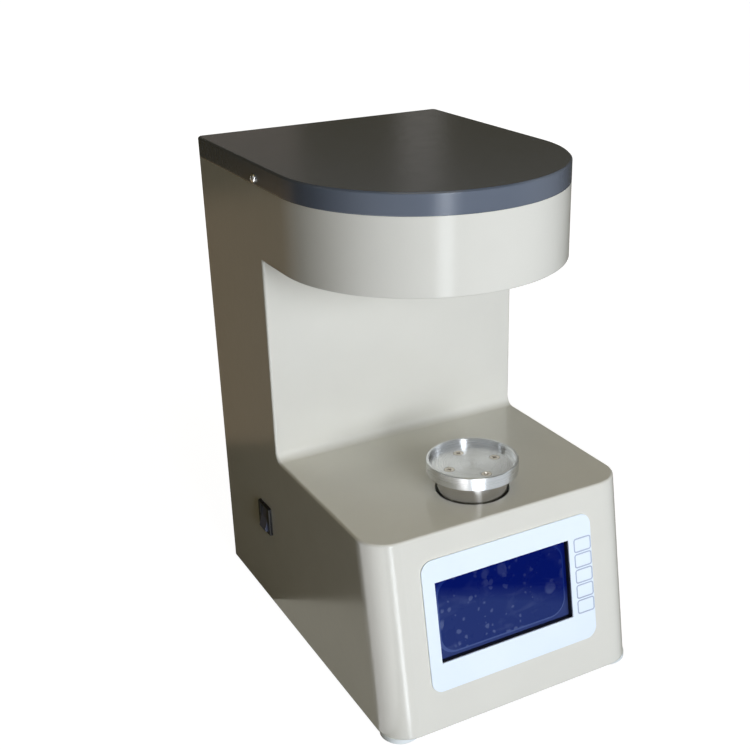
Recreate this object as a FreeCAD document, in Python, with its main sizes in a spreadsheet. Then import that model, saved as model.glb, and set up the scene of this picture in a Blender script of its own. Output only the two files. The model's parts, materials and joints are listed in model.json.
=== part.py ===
import FreeCAD, Part
import math
import os
from enum import IntEnum
from types import SimpleNamespace

import Sketcher
from FreeCAD import Placement, Rotation, Vector

# A bench surface tensiometer: a C-shaped sheet-metal case with a sample stage in its base,
# a force balance in its head, and a display with five keys on its sloped nose.
# Millimetres. +X is the user's right, +Y runs to the back, +Z is up. The origin is on the
# bench, straight under the common axis of the sample stage and the balance hook.

SIZES = {
    # case of folded and welded sheet
    "case_width": 216.0,
    "case_depth": 282.0,
    "base_height": 147.0,
    "throat_height": 162.0,
    "head_height": 54.5,
    "nose_run": 25.0,
    "stage_setback": 44.0,
    "column_setback": 159.0,
    "head_setback": 9.0,
    "sheet": 1.5,
    "nose_corner_radius": 23.0,
    "back_corner_radius": 4.5,
    "throat_radius": 7.0,
    "fold_radius": 2.0,
    "flange_width": 14.0,
    "flange_corner_gap": 4.0,
    "lip_rise": 11.5,
    "lip_overlap": 10.0,
    # clearances and fits
    "running_fit": 0.05,
    "panel_gap": 0.3,
    "seat_gap": 0.1,
    "clear_hole": 0.2,
    # how far a cut reaches past the face it opens
    "cut_past": 1.0,
    # cover, rear panel and floor
    "cover_height": 15.5,
    "cover_sheet": 1.2,
    "cover_edge": 1.2,
    "cover_screw_setback": 164.5,
    "cover_screw_rise": 4.5,
    "rear_opening_margin": 18.0,
    "rear_overlap": 8.0,
    "rear_sheet": 1.5,
    "rear_panel_radius": 3.0,
    "rear_screw_inset": 14.0,
    "vent_length": 46.0,
    "vent_width": 3.2,
    "vent_pitch": 8.0,
    "vent_gap": 12.0,
    "vent_height": 258.0,
    "floor_sheet": 2.0,
    "floor_corner": 3.0,
    "floor_screw_inset": 7.5,
    "floor_screw_front": 20.0,
    "floor_screw_rear": 60.0,
    # feet
    "foot_height": 5.0,
    "foot_radius": 15.0,
    "foot_edge": 1.2,
    "foot_recess": 2.6,
    "foot_inset": 16.0,
    "front_foot_inset": 18.0,
    "rear_foot_inset": 25.0,
    "rear_foot_side": 28.0,
    # screws: shank and head
    "screw_small": 3.0,
    "screw_large": 4.0,
    "small_head": 5.6,
    "large_head": 8.0,
    "small_head_rise": 2.0,
    "large_head_rise": 2.4,
    "cover_head": 7.0,
    "small_screw_length": 8.0,
    "large_screw_length": 9.5,
    # sample stage
    "tray_radius": 34.0,
    "tray_height": 9.7,
    "tray_wall": 2.2,
    "tray_recess": 4.7,
    "tray_rise": 24.3,
    "tray_screw_circle": 19.5,
    "tray_edge": 0.4,
    "centre_mark_radius": 0.8,
    "centre_mark_depth": 0.6,
    "post_radius": 26.0,
    "post_wall": 3.0,
    "post_top": 5.0,
    "post_flange_radius": 30.0,
    "post_flange": 4.0,
    "stage_hole_gap": 1.5,
    "carriage_rise": 95.0,
    "carriage_thickness": 8.0,
    "carriage_width": 112.0,
    "carriage_depth": 36.0,
    "travel_down": 12.0,
    "travel_up": 28.0,
    "rod_spacing": 80.0,
    "rod_radius": 4.0,
    "bushing_radius": 7.5,
    "bushing_length": 24.0,
    # lift drive
    "motor_side": 42.0,
    "motor_length": 34.0,
    "motor_rise": 5.0,
    "motor_pilot": 11.0,
    "motor_corner": 5.0,
    "motor_pilot_height": 2.0,
    "motor_bolt_square": 31.0,
    "motor_shaft_depth": 19.0,
    "motor_shaft_radius": 2.5,
    "shaft_gap": 0.5,
    "motor_thread_depth": 5.0,
    "lift_plate_width": 122.0,
    "lift_plate_front": 30.0,
    "lift_plate_back": 44.0,
    "lift_plate": 4.0,
    "pillar_radius": 4.0,
    "pillar_x": 52.0,
    "pillar_y": 22.0,
    "top_plate": 5.0,
    "top_plate_drop": 4.0,
    "coupling_radius": 9.5,
    "coupling_length": 20.0,
    "coupling_rise": 2.5,
    "screw_radius": 4.0,
    "screw_top_gap": 15.0,
    "nut_radius": 5.1,
    "nut_flange_radius": 11.0,
    "nut_flange": 3.5,
    "nut_reach": 12.0,
    "gate_width": 10.0,
    "gate_depth": 10.5,
    "gate_height": 6.0,
    "gate_gap": 1.0,
    "gate_slot_width": 3.0,
    "gate_slot_depth": 8.0,
    "gate_bracket_width": 16.0,
    "gate_bracket_sheet": 1.5,
    "flag_thickness": 1.0,
    "flag_gap": 0.5,
    # display and keys on the nose
    "panel_drop": 18.8,
    "panel_side": 9.7,
    "panel_above": 17.4,
    "panel_below": 21.6,
    "panel_thickness": 1.2,
    "panel_radius": 9.0,
    "window_width": 113.9,
    "window_height": 62.0,
    "window_recess": 6.0,
    "window_margin": 1.0,
    "glass_thickness": 2.8,
    "frame_depth": 9.3,
    "frame_rim": 2.6,
    "board_thickness": 1.6,
    "display_board_side": 7.05,
    "display_board_above": 10.0,
    "stud_inset": 3.6,
    "stud_radius": 2.5,
    "key_width": 13.6,
    "key_height": 9.4,
    "key_window_gap": 5.5,
    "key_side": 1.3,
    "key_step": 1.5,
    "key_pad": 0.7,
    "key_gap": 0.35,
    "key_corner": 0.6,
    "key_stem_radius": 1.5,
    "key_slot_margin": 2.0,
    "key_travel": 0.4,
    "key_switch_side": 6.0,
    "key_switch_height": 3.1,
    "key_board_gap": 6.6,
    "key_board_width": 14.0,
    "key_board_margin": 3.6,
    # power switch on the left side
    "switch_setback": 190.5,
    "switch_height": 86.5,
    "bezel_width": 23.0,
    "bezel_height": 25.0,
    "bezel_rise": 2.5,
    "bezel_radius": 1.5,
    "switch_edge": 0.6,
    "switch_body_width": 19.4,
    "switch_body_height": 23.2,
    "switch_body_depth": 20.0,
    "rocker_width": 12.5,
    "rocker_radius": 10.4,
    "rocker_crest": 2.6,
    "rocker_valley": 2.1,
    "rocker_skirt": 6.0,
    "rocker_gap": 0.3,
    "rocker_tilt": 12.0,
    "rocker_well_gap": 1.0,
    "trunnion_radius": 1.5,
    "trunnion_length": 1.2,
    "switch_tab_width": 0.8,
    "switch_tab_height": 6.3,
    "switch_tab_length": 8.0,
    "switch_tab_spacing": 10.0,
    # power inlet on the rear panel
    "inlet_inset": 52.0,
    "inlet_height": 62.0,
    "inlet_flange_width": 50.0,
    "inlet_flange_height": 24.0,
    "inlet_flange": 3.0,
    "inlet_corner": 4.0,
    "inlet_body_width": 27.4,
    "inlet_body_height": 19.6,
    "inlet_wall": 1.4,
    "inlet_depth": 17.0,
    "inlet_back": 3.0,
    "inlet_chamfer": 4.0,
    "inlet_screw_spacing": 40.0,
    "inlet_pin_spacing": 14.0,
    "inlet_pin_width": 2.0,
    "inlet_pin_height": 4.0,
    "inlet_pin_drop": 1.5,
    "inlet_pin_setback": 2.5,
    "inlet_tab": 7.0,
    # force balance in the head
    "balance_width": 78.0,
    "balance_front": 20.0,
    "balance_rear": 106.0,
    "balance_plate": 6.0,
    "balance_spacer": 4.0,
    "balance_spacer_radius": 5.0,
    "balance_spacer_inset": 8.0,
    "pivot_setback": 48.0,
    "pivot_rise": 22.0,
    "pivot_radius": 2.0,
    "beam_width": 9.0,
    "beam_height": 9.0,
    "beam_tail": 50.0,
    "beam_nose": 7.0,
    "beam_nose_height": 6.0,
    "beam_taper": 14.0,
    "beam_window": 10.0,
    "beam_window_offset": 14.0,
    "fulcrum_gap": 0.6,
    "fulcrum_wall": 7.0,
    "fulcrum_depth": 16.0,
    "fulcrum_cap": 6.0,
    "fulcrum_clearance": 3.0,
    "coil_arm": 30.0,
    "coil_radius": 13.0,
    "coil_wall": 2.0,
    "coil_height": 9.0,
    "magnet_radius": 20.0,
    "magnet_core": 9.0,
    "magnet_gap_radius": 15.0,
    "magnet_height": 13.5,
    "magnet_floor": 4.0,
    "weight_radius": 5.0,
    "weight_length": 6.0,
    "weight_edge": 1.0,
    "hook_pin_radius": 1.0,
    "hook_rod_radius": 1.0,
    "hook_drop": 7.5,
    "hook_bend": 3.2,
    "hook_plate": 1.6,
    "hook_eye_radius": 2.6,
    "hook_eye_width": 2.6,
    "hook_slot_gap": 0.5,
    "hook_slot_depth": 5.0,
    "hook_hole_radius": 8.0,
    "grommet_wall": 1.5,
    "grommet_lip": 2.5,
    "grommet_rim": 1.2,
    "stop_gap": 1.2,
    "stop_setback": 20.0,
    "stop_depth": 8.0,
    "stop_wall": 4.0,
    "stop_side_gap": 4.0,
    # electronics in the base
    "main_board_width": 76.0,
    "main_board_depth": 126.0,
    "board_side_gap": 4.5,
    "board_back_gap": 9.5,
    "board_standoff": 10.0,
    "standoff_radius": 2.5,
    "standoff_inset": 4.0,
    "supply_board_gap": 9.0,
    "supply_depth": 90.0,
    "supply_height": 30.0,
    "supply_corner": 1.5,
    "supply_back_gap": 17.5,
    "supply_ledge": 11.0,
    "supply_ledge_height": 14.0,
    "balance_board_width": 34.0,
    "balance_board_depth": 70.0,
    "balance_board_inset": 42.0,
    "balance_board_y": 68.0,
}


class Size:
    """A length or an angle: its expression over the sheet, and its value now."""

    def __init__(self, text, value):
        self.text = text
        self.value = value

    def __add__(self, other):
        other = as_size(other)
        return Size(f"({self.text} + {other.text})", self.value + other.value)

    def __sub__(self, other):
        other = as_size(other)
        return Size(f"({self.text} - {other.text})", self.value - other.value)

    def __mul__(self, other):
        other = as_size(other)
        return Size(f"{self.text} * {other.text}", self.value * other.value)

    def __truediv__(self, other):
        other = as_size(other)
        return Size(f"{self.text} / {other.text}", self.value / other.value)

    def __neg__(self):
        return Size(f"(0 - {self.text})", -self.value)

    def __rsub__(self, other):
        return as_size(other) - self

    __radd__ = __add__
    __rmul__ = __mul__


def as_size(number):
    """The number as a Size, for mixing plain numbers with sizes from the sheet."""
    return number if isinstance(number, Size) else Size(f"{number:.6f}", float(number))


def root(square):
    """Square root of a size."""
    return Size(f"sqrt({square.text})", math.sqrt(square.value))


def slope_angle(rise, run):
    """Angle in degrees whose tangent is rise over run."""
    value = math.degrees(math.atan(rise.value / run.value))
    return Size(f"atan({rise.text} / {run.text})", value)


doc = FreeCAD.newDocument("surface_tensiometer")
table = doc.addObject("Spreadsheet::Sheet", "Sizes")
for row, (alias, number) in enumerate(SIZES.items(), start=1):
    table.set(f"A{row}", alias)
    table.set(f"B{row}", str(number))
    table.setAlias(f"B{row}", alias)
doc.recompute()
size = SimpleNamespace(**{alias: Size(f"Sizes.{alias}", number) for alias, number in SIZES.items()})


def bind(thing, target, amount):
    """Ties a property or a constraint of a document object to a size."""
    thing.setExpression(target, as_size(amount).text)


# Outlines. Each function returns one that draws itself into a sketch.


class Spot(IntEnum):
    """The points of a sketch's geometry."""

    START = 1
    END = 2
    CENTRE = 3


SKETCH_ORIGIN = (-1, Spot.START)


def hold(sketch, geometry, point, **places):
    """Places a point of a sketch's geometry by its distances x and y from the origin."""
    for letter, place in places.items():
        kind = f"Distance{letter.upper()}"
        value = as_size(place).value
        constraint = Sketcher.Constraint(kind, *SKETCH_ORIGIN, geometry, point, value)
        bind(sketch, f"Constraints[{sketch.addConstraint(constraint)}]", place)


def disc(x, y, radius):
    """A circle."""

    def draw(sketch):
        centre = Vector(as_size(x).value, as_size(y).value, 0)
        circle = Part.Circle(centre, Vector(0, 0, 1), as_size(radius).value)
        index = sketch.addGeometry(circle, False)
        hold(sketch, index, Spot.CENTRE, x=x, y=y)
        constraint = Sketcher.Constraint("Radius", index, as_size(radius).value)
        bind(sketch, f"Constraints[{sketch.addConstraint(constraint)}]", radius)

    return draw


def path(*corners):
    """A closed outline through corners (x, y). A corner (x, y, centre_x, centre_y) starts an
    arc about that centre, anticlockwise, to the next corner."""

    def draw(sketch):
        count = len(corners)
        first = sketch.GeometryCount
        spots = [Vector(*(as_size(c).value for c in corner[:2]), 0) for corner in corners]
        for index, corner in enumerate(corners):
            start = spots[index]
            end = spots[(index + 1) % count]
            sketch.addGeometry(edge_between(start, end, corner[2:]), False)
        for index in range(count):
            following = first + (index + 1) % count
            meet = Sketcher.Constraint("Coincident", first + index, Spot.END, following, Spot.START)
            sketch.addConstraint(meet)
        for index, corner in enumerate(corners):
            hold(sketch, first + index, Spot.START, x=corner[0], y=corner[1])
            if len(corner) == 4:
                chord = spots[(index + 1) % count] - spots[index]
                if abs(chord.x) >= abs(chord.y):
                    hold(sketch, first + index, Spot.CENTRE, y=corner[3])
                else:
                    hold(sketch, first + index, Spot.CENTRE, x=corner[2])

    return draw


def edge_between(start, end, centre):
    """A line, or an anticlockwise arc about a centre."""
    if not centre:
        return Part.LineSegment(start, end)
    middle = Vector(*(as_size(c).value for c in centre), 0)
    angles = [math.atan2(spot.y - middle.y, spot.x - middle.x) for spot in (start, end)]
    if angles[1] <= angles[0]:
        angles[1] += 2 * math.pi
    circle = Part.Circle(middle, Vector(0, 0, 1), (start - middle).Length)
    return Part.ArcOfCircle(circle, *angles)


def box(x0, y0, x1, y1):
    """A rectangle between two corners."""
    return path((x0, y0), (x1, y0), (x1, y1), (x0, y1))


def block(x, y, width, height):
    """A rectangle about a centre."""
    x, y = as_size(x), as_size(y)
    return box(x - width / 2, y - height / 2, x + width / 2, y + height / 2)


def hexagon(x, y, radius):
    """A hexagon about a centre, its corners at a radius."""
    x, y = as_size(x), as_size(y)
    half = radius / 2
    rise = root(as_size(3)) * half
    return path(
        (x - radius, y),
        (x - half, y - rise),
        (x + half, y - rise),
        (x + radius, y),
        (x + half, y + rise),
        (x - half, y + rise),
    )


def clipped(x0, y0, x1, y1, corner):
    """A rectangle between two corners, with its corners cut off at 45 degrees."""
    return path(
        (x0 + corner, y0),
        (x1 - corner, y0),
        (x1, y0 + corner),
        (x1, y1 - corner),
        (x1 - corner, y1),
        (x0 + corner, y1),
        (x0, y1 - corner),
        (x0, y0 + corner),
    )


def rounded(x0, y0, x1, y1, r):
    """A rectangle between two corners, with rounded corners."""
    x0, y0, x1, y1 = (as_size(place) for place in (x0, y0, x1, y1))
    return path(
        (x0 + r, y0),
        (x1 - r, y0, x1 - r, y0 + r),
        (x1, y0 + r),
        (x1, y1 - r, x1 - r, y1 - r),
        (x1 - r, y1),
        (x0 + r, y1, x0 + r, y1 - r),
        (x0, y1 - r),
        (x0, y0 + r, x0 + r, y0 + r),
    )


def rounded_block(x, y, width, height, r):
    """A rectangle about a centre, with rounded corners."""
    x, y = as_size(x), as_size(y)
    return rounded(x - width / 2, y - height / 2, x + width / 2, y + height / 2, r)


# Sub-parts

parts = []
KEY_COUNT = 5
VENT_ROWS = 7
# two coordinates nearer than this are the same
NEAR = 0.01
# any angle but zero, so that a placement keeps its axis until its own angle is bound
AXIS_HOLD_ANGLE = 5


class Piece:
    """One sub-part: a PartDesign body, whose features are added in order."""

    def __init__(self, label, at=(0, 0, 0), turn=None, kept=True):
        self.body = doc.addObject("PartDesign::Body", label)
        self.body.Label = label
        if turn:
            axis, angle = turn
            self.body.Placement = Placement(Vector(), Rotation(Vector(*axis), AXIS_HOLD_ANGLE))
            bind(self.body, "Placement.Rotation.Angle", angle)
        for letter, place in zip("xyz", at):
            bind(self.body, f"Placement.Base.{letter}", place)
        if kept:
            parts.append(self.body)

    def sketch(self, plane, start, shapes):
        """A sketch on one of the body's own planes, moved along the plane's axis to start."""
        sketch = self.body.newObject("Sketcher::SketchObject", f"{self.body.Name}_sketch")
        role = f"{plane}_Plane"
        support = next(f for f in self.body.Origin.OriginFeatures if f.Role == role)
        sketch.AttachmentSupport = [(support, "")]
        sketch.MapMode = "FlatFace"
        bind(sketch, "AttachmentOffset.Base.z", -as_size(start) if plane == "XZ" else start)
        for draw in shapes:
            draw(sketch)
        return sketch

    def pad(self, plane, start, length, *shapes):
        """Adds outlines on a plane at start, as thick as length, towards +X, +Y or +Z."""
        sketch = self.sketch(plane, start, shapes)
        feature = self.body.newObject("PartDesign::Pad", f"{self.body.Name}_pad")
        feature.Profile = sketch
        feature.Reversed = plane == "XZ"
        bind(feature, "Length", length)
        return feature

    def cut(self, plane, start, length, *shapes):
        """Takes outlines away from a plane at start, towards +X, +Y or +Z."""
        sketch = self.sketch(plane, start, shapes)
        return self.cut_sketch(sketch, length, plane != "XZ")

    def cut_from(self, plane, start, length, *shapes):
        """Takes outlines away from an open face at start."""
        return self.cut(plane, start - size.cut_past, length + size.cut_past, *shapes)

    def cut_through(self, plane, start, thickness, *shapes):
        """Takes outlines away through a wall that begins at start."""
        return self.cut(plane, start - size.cut_past, thickness + size.cut_past * 2, *shapes)

    def cut_sketch(self, sketch, length, reverse):
        """Takes a sketch's outlines away, and checks that some of the solid went."""
        doc.recompute()
        before = self.body.Tip.Shape.Volume
        feature = self.body.newObject("PartDesign::Pocket", f"{self.body.Name}_cut")
        feature.Profile = sketch
        feature.Reversed = reverse
        bind(feature, "Length", length)
        doc.recompute()
        if not feature.Shape.Volume < before:
            raise ValueError(f"a cut in {self.body.Label} takes nothing away")
        return feature

    def turned(self, *profile):
        """Adds a solid of revolution about +Z, from corners (radius, height)."""
        sketch = self.sketch("XZ", 0, [path(*profile)])
        feature = self.body.newObject("PartDesign::Revolution", f"{self.body.Name}_turned")
        feature.Profile = sketch
        feature.ReferenceAxis = (sketch, ["V_Axis"])
        feature.Angle = 360
        return feature

    def dressed(self, kind, target, amount, wanted):
        """Adds a fillet or a chamfer to the edges that are wanted."""
        doc.recompute()
        base = self.body.Tip
        named = [f"Edge{i}" for i, edge in enumerate(base.Shape.Edges, 1) if wanted(edge)]
        if not named:
            raise ValueError(f"no edge of {self.body.Label} is where its {kind} goes")
        feature = self.body.newObject(f"PartDesign::{kind}", f"{self.body.Name}_{kind}")
        feature.Base = (base, named)
        bind(feature, target, amount)
        return feature

    def fillet(self, radius, wanted):
        return self.dressed("Fillet", "Radius", radius, wanted)

    def chamfer(self, setback, wanted):
        return self.dressed("Chamfer", "Size", setback, wanted)

    def repeat(self, kind, feature, count):
        """Repeats a feature round or along the body's Z axis."""
        pattern = self.body.newObject(f"PartDesign::{kind}Pattern", f"{self.body.Name}_{kind}")
        pattern.Originals = [feature]
        pattern.Occurrences = count
        axis = next(f for f in self.body.Origin.OriginFeatures if f.Role == "Z_Axis")
        if kind == "Polar":
            pattern.Axis = (axis, [""])
            pattern.Angle = 360
        else:
            pattern.Direction = (axis, [""])
        self.body.Tip = pattern
        return pattern

    def repeat_around(self, feature, count):
        """Repeats a feature evenly about the body's Z axis."""
        return self.repeat("Polar", feature, count)

    def repeat_along(self, feature, count, pitch, down=False):
        """Repeats a feature up or down the body's Z axis."""
        pattern = self.repeat("Linear", feature, count)
        bind(pattern, "Length", pitch * (count - 1))
        pattern.Reversed = down
        return pattern

    def take_away(self, other):
        """Cuts another piece's solid out of this one."""
        boolean = self.body.newObject("PartDesign::Boolean", f"{self.body.Name}_less")
        boolean.setObjects([other.body])
        boolean.Type = "Cut"
        return boolean


def edge_at(x=None, y=None, z=None):
    """Picks the edges whose ends both lie at the given coordinates."""

    def wanted(edge):
        for vertex in edge.Vertexes:
            for place, actual in zip((x, y, z), vertex.Point):
                if place is not None and abs(as_size(place).value - actual) > NEAR:
                    return False
        return True

    return wanted


def upright_at(y):
    """Picks the straight edges along Z that stand at y."""

    def wanted(edge):
        ends = [vertex.Point for vertex in edge.Vertexes]
        if len(ends) != 2 or not edge_at(y=y)(edge):
            return False
        return abs(ends[1].x - ends[0].x) < NEAR and abs(ends[1].z - ends[0].z) > NEAR

    return wanted


# Planes of the case that the sub-parts share

case_floor = size.foot_height
base_top = case_floor + size.base_height
head_floor = base_top + size.throat_height
head_top = head_floor + size.head_height
half_width = size.case_width / 2
nose_top = -size.stage_setback
nose_bottom = nose_top - size.nose_run
column_face = nose_top + size.column_setback
head_front = nose_top + size.head_setback
head_centre = head_front + half_width
case_back = nose_top + size.case_depth
nose_slope = size.nose_run / size.base_height
nose_tilt = slope_angle(size.nose_run, size.base_height)
nose_stretch = root(size.nose_run * size.nose_run + size.base_height * size.base_height) / size.base_height
ON_NOSE = {"at": (0, nose_top, base_top), "turn": ((-1, 0, 0), nose_tilt)}
small_shank = size.screw_small / 2
large_shank = size.screw_large / 2
small_hole = small_shank + size.clear_hole
large_hole = large_shank + size.clear_hole
small_thread = small_shank + size.running_fit
large_thread = large_shank + size.running_fit


def head_plan(inset):
    """Plan of the head: straight sides, a half-round front and softly rounded rear corners."""
    half = half_width - inset
    back = case_back - inset
    r = size.back_corner_radius - inset
    return path(
        (-half, head_centre, 0, head_centre),
        (half, head_centre),
        (half, back - r, half - r, back - r),
        (half - r, back),
        (r - half, back, r - half, back - r),
        (-half, back - r),
    )


def case_form(label, inset, kept):
    """The solid C of the case, drawn in by an inset. The cavity is the same form, drawn in by
    the sheet's thickness and open at the bottom and the top of the head."""
    front = size.nose_run * inset / size.base_height
    stretch = nose_stretch * inset
    form = Piece(label, kept=kept)
    half = half_width - inset
    side = path(
        (nose_bottom + stretch, case_floor),
        (nose_top + stretch - front, base_top - inset),
        (column_face + inset, base_top - inset),
        (column_face + inset, head_floor + inset),
        (head_front + inset, head_floor + inset),
        (head_front + inset, head_top),
        (case_back - inset, head_top),
        (case_back - inset, case_floor),
    )
    form.pad("YZ", -half, half * 2, side)
    past = size.cut_past
    corners = path(
        (-half, head_centre, 0, head_centre),
        (half, head_centre),
        (half + past, head_centre),
        (half + past, head_front - past),
        (-half - past, head_front - past),
        (-half - past, head_centre),
    )
    form.cut("XY", head_floor + inset, size.head_height, corners)
    floor_corner = (nose_bottom + stretch).value

    def nose_corner(edge):
        front = min(vertex.Y for vertex in edge.Vertexes)
        return abs(front - floor_corner) < NEAR and not edge_at(z=case_floor)(edge)

    form.fillet(size.nose_corner_radius - inset, nose_corner)
    form.fillet(size.throat_radius + inset, edge_at(y=column_face + inset, z=base_top - inset))
    form.fillet(size.back_corner_radius - inset, upright_at(case_back - inset))
    return form


# Case

panel_width = size.panel_side + size.window_width + size.key_window_gap + size.key_width + size.key_side
panel_height = size.panel_above + size.window_height + size.panel_below
window_left = panel_width / 2 - size.panel_side
window_right = size.window_width - window_left
window_drop = size.panel_drop + size.panel_above
window_low = -window_drop - size.window_height
key_left = window_right + size.key_window_gap
key_right = key_left + size.key_width
key_x = key_left + size.key_width / 2
key_drop = window_drop + size.key_step
key_pitch = (size.window_height - size.key_step * 2 - size.key_height) / (KEY_COUNT - 1)
key_bottom = key_drop + key_pitch * (KEY_COUNT - 1) + size.key_height
inlet_x = size.inlet_inset - half_width
rear_half = half_width - size.rear_opening_margin
rear_low = case_floor + size.rear_opening_margin
rear_high = head_top - size.rear_opening_margin
switch_y = nose_top + size.switch_setback
switch_z = size.switch_height
cover_screw_y = nose_top + size.cover_screw_setback
cover_screw_z = head_top + size.cover_screw_rise
rear_screw_x = rear_half + size.rear_overlap / 2
rear_screw_heights = [rear_low + size.rear_screw_inset, rear_high - size.rear_screw_inset]
floor_half = half_width - size.sheet - size.panel_gap
floor_rear = case_back - size.sheet - size.panel_gap
floor_front = nose_bottom + nose_stretch * size.sheet + nose_slope * size.floor_sheet + size.panel_gap
floor_screw_x = half_width - size.sheet - size.floor_screw_inset
floor_screw_ys = [nose_top + size.floor_screw_front, case_back - size.floor_screw_rear]


def on_both_sides(across, places):
    """Each place twice: at -across and at +across."""
    return [(side * across, place) for side in (-1, 1) for place in places]


def inlet_outline(width, height, chamfer):
    """The power inlet's outline: a rectangle with its two upper corners cut off."""
    x0 = inlet_x - width / 2
    x1 = inlet_x + width / 2
    low = size.inlet_height - height / 2
    high = size.inlet_height + height / 2
    return path(
        (x0, low),
        (x1, low),
        (x1, high - chamfer),
        (x1 - chamfer, high),
        (x0 + chamfer, high),
        (x0, high - chamfer),
    )


inlet_screws = [(inlet_x - size.inlet_screw_spacing / 2, size.inlet_height)]
inlet_screws += [(inlet_x + size.inlet_screw_spacing / 2, size.inlet_height)]
rear_screws = on_both_sides(rear_screw_x, rear_screw_heights)
floor_screws = on_both_sides(floor_screw_x, floor_screw_ys)
foot_places = on_both_sides(half_width - size.foot_inset, [nose_bottom + size.front_foot_inset])
foot_places += on_both_sides(half_width - size.rear_foot_side, [case_back - size.rear_foot_inset])


flange_back = case_back - size.sheet - size.flange_width
flange_inner = half_width - size.sheet - size.flange_width


def make_main_housing():
    """The welded shell: base, column and head in one, with flanges for the floor, a lip for
    the cover, and an opening for each thing that passes through it."""
    housing = case_form("main_housing", as_size(0), kept=True)
    housing.fillet(size.fold_radius, upright_at(column_face))
    cavity = case_form("case_cavity", size.sheet, kept=False)
    housing.take_away(cavity)
    wall = size.sheet / 2
    flange_low = case_floor + size.floor_sheet
    strip_front = nose_bottom + size.nose_corner_radius + size.flange_width / 2
    strip_back = case_back - size.back_corner_radius - size.flange_width / 2
    left_strip = box(-half_width + wall, strip_front, -flange_inner, strip_back)
    right_strip = box(flange_inner, strip_front, half_width - wall, strip_back)
    housing.pad("XY", flange_low, size.sheet, left_strip)
    housing.pad("XY", flange_low, size.sheet, right_strip)
    strip_end = flange_inner - size.flange_corner_gap
    back_strip = box(-strip_end, flange_back, strip_end, case_back - wall)
    housing.pad("XY", flange_low, size.sheet, back_strip)
    lip = [head_plan(size.sheet), head_plan(size.sheet * 2)]
    housing.pad("XY", head_top - size.lip_overlap, size.lip_overlap + size.lip_rise, *lip)
    rear = box(-rear_half, rear_low, rear_half, rear_high)
    rear_holes = [disc(x, z, small_thread) for x, z in rear_screws]
    housing.cut_through("XZ", case_back - size.sheet, size.sheet, rear, *rear_holes)
    flange_holes = [disc(x, y, small_thread) for x, y in floor_screws]
    housing.cut_through("XY", flange_low, size.sheet, *flange_holes)
    stage_hole = disc(0, 0, size.post_radius + size.stage_hole_gap)
    housing.cut_through("XY", base_top - size.sheet, size.sheet, stage_hole)
    housing.cut_through("XY", head_floor, size.sheet, disc(0, 0, size.hook_hole_radius))
    switch_hole = block(
        switch_y, switch_z, size.switch_body_width + size.panel_gap, size.switch_body_height + size.panel_gap
    )
    housing.cut_through("YZ", -half_width, size.sheet, switch_hole)
    screw_hole = disc(cover_screw_y, cover_screw_z, large_thread)
    housing.cut("YZ", -half_width, size.case_width, screw_hole)
    nose = housing.sketch("XZ", 0, [])
    nose.AttachmentOffset = Placement(Vector(), Rotation(Vector(-1, 0, 0), AXIS_HOLD_ANGLE))
    bind(nose, "AttachmentOffset.Base.y", base_top)
    bind(nose, "AttachmentOffset.Base.z", -nose_top)
    bind(nose, "AttachmentOffset.Rotation.Angle", nose_tilt)
    margin = size.window_margin
    left = -window_left - margin
    right = window_right + margin
    box(left, window_low - margin, right, margin - window_drop)(nose)
    edge = size.key_slot_margin
    box(key_left + edge, edge - key_bottom, key_right - edge, -key_drop - edge)(nose)
    housing.cut_sketch(nose, size.sheet * 2, False)


def make_top_cover():
    """The lid: a plain top with a skirt that closes over the case's lip."""
    cover = Piece("top_cover")
    cover.pad("XY", head_top, size.cover_height, head_plan(as_size(0)))
    cover.chamfer(size.cover_edge, edge_at(z=head_top + size.cover_height))
    inside = head_plan(size.cover_sheet)
    cover.cut_from("XY", head_top, size.cover_height - size.cover_sheet, inside)
    holes = disc(cover_screw_y, cover_screw_z, large_hole)
    cover.cut_through("YZ", -half_width, size.case_width, holes)


def make_rear_panel():
    """The panel that closes the back, with vents and the cut-out of the power inlet."""
    panel = Piece("rear_panel")
    lap = size.rear_overlap
    panel.pad(
        "XZ",
        case_back,
        size.rear_sheet,
        rounded(
            -rear_half - lap,
            rear_low - lap,
            rear_half + lap,
            rear_high + lap,
            size.rear_panel_radius,
        ),
    )
    gap = size.panel_gap
    inlet = inlet_outline(size.inlet_body_width + gap, size.inlet_body_height + gap, size.inlet_chamfer)
    holes = [disc(x, z, small_hole) for x, z in inlet_screws + rear_screws]
    panel.cut_through("XZ", case_back, size.rear_sheet, inlet, *holes)
    vent_x = (size.vent_length + size.vent_gap) / 2
    vents = [
        block(side * vent_x, size.vent_height, size.vent_length, size.vent_width) for side in (-1, 1)
    ]
    lowest = panel.cut_through("XZ", case_back, size.rear_sheet, *vents)
    panel.repeat_along(lowest, VENT_ROWS, size.vent_pitch)


def make_base_plate():
    """The floor of the case, screwed up into the flanges. It carries the feet and the lift."""
    plate = Piece("base_plate")
    r = size.nose_corner_radius - size.sheet
    plan = path(
        (r - floor_half, floor_front),
        (floor_half - r, floor_front, floor_half - r, floor_front + r),
        (floor_half, floor_front + r),
        (floor_half, floor_rear - size.floor_corner),
        (floor_half - size.floor_corner, floor_rear),
        (size.floor_corner - floor_half, floor_rear),
        (-floor_half, floor_rear - size.floor_corner),
        (-floor_half, floor_front + r, r - floor_half, floor_front + r),
    )
    plate.pad("XY", case_floor, size.floor_sheet, plan)
    holes = [disc(x, y, small_hole) for x, y in floor_screws]
    holes += [disc(x, y, large_thread) for x, y in foot_places]
    plate.cut_through("XY", case_floor, size.floor_sheet, *holes)


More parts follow.
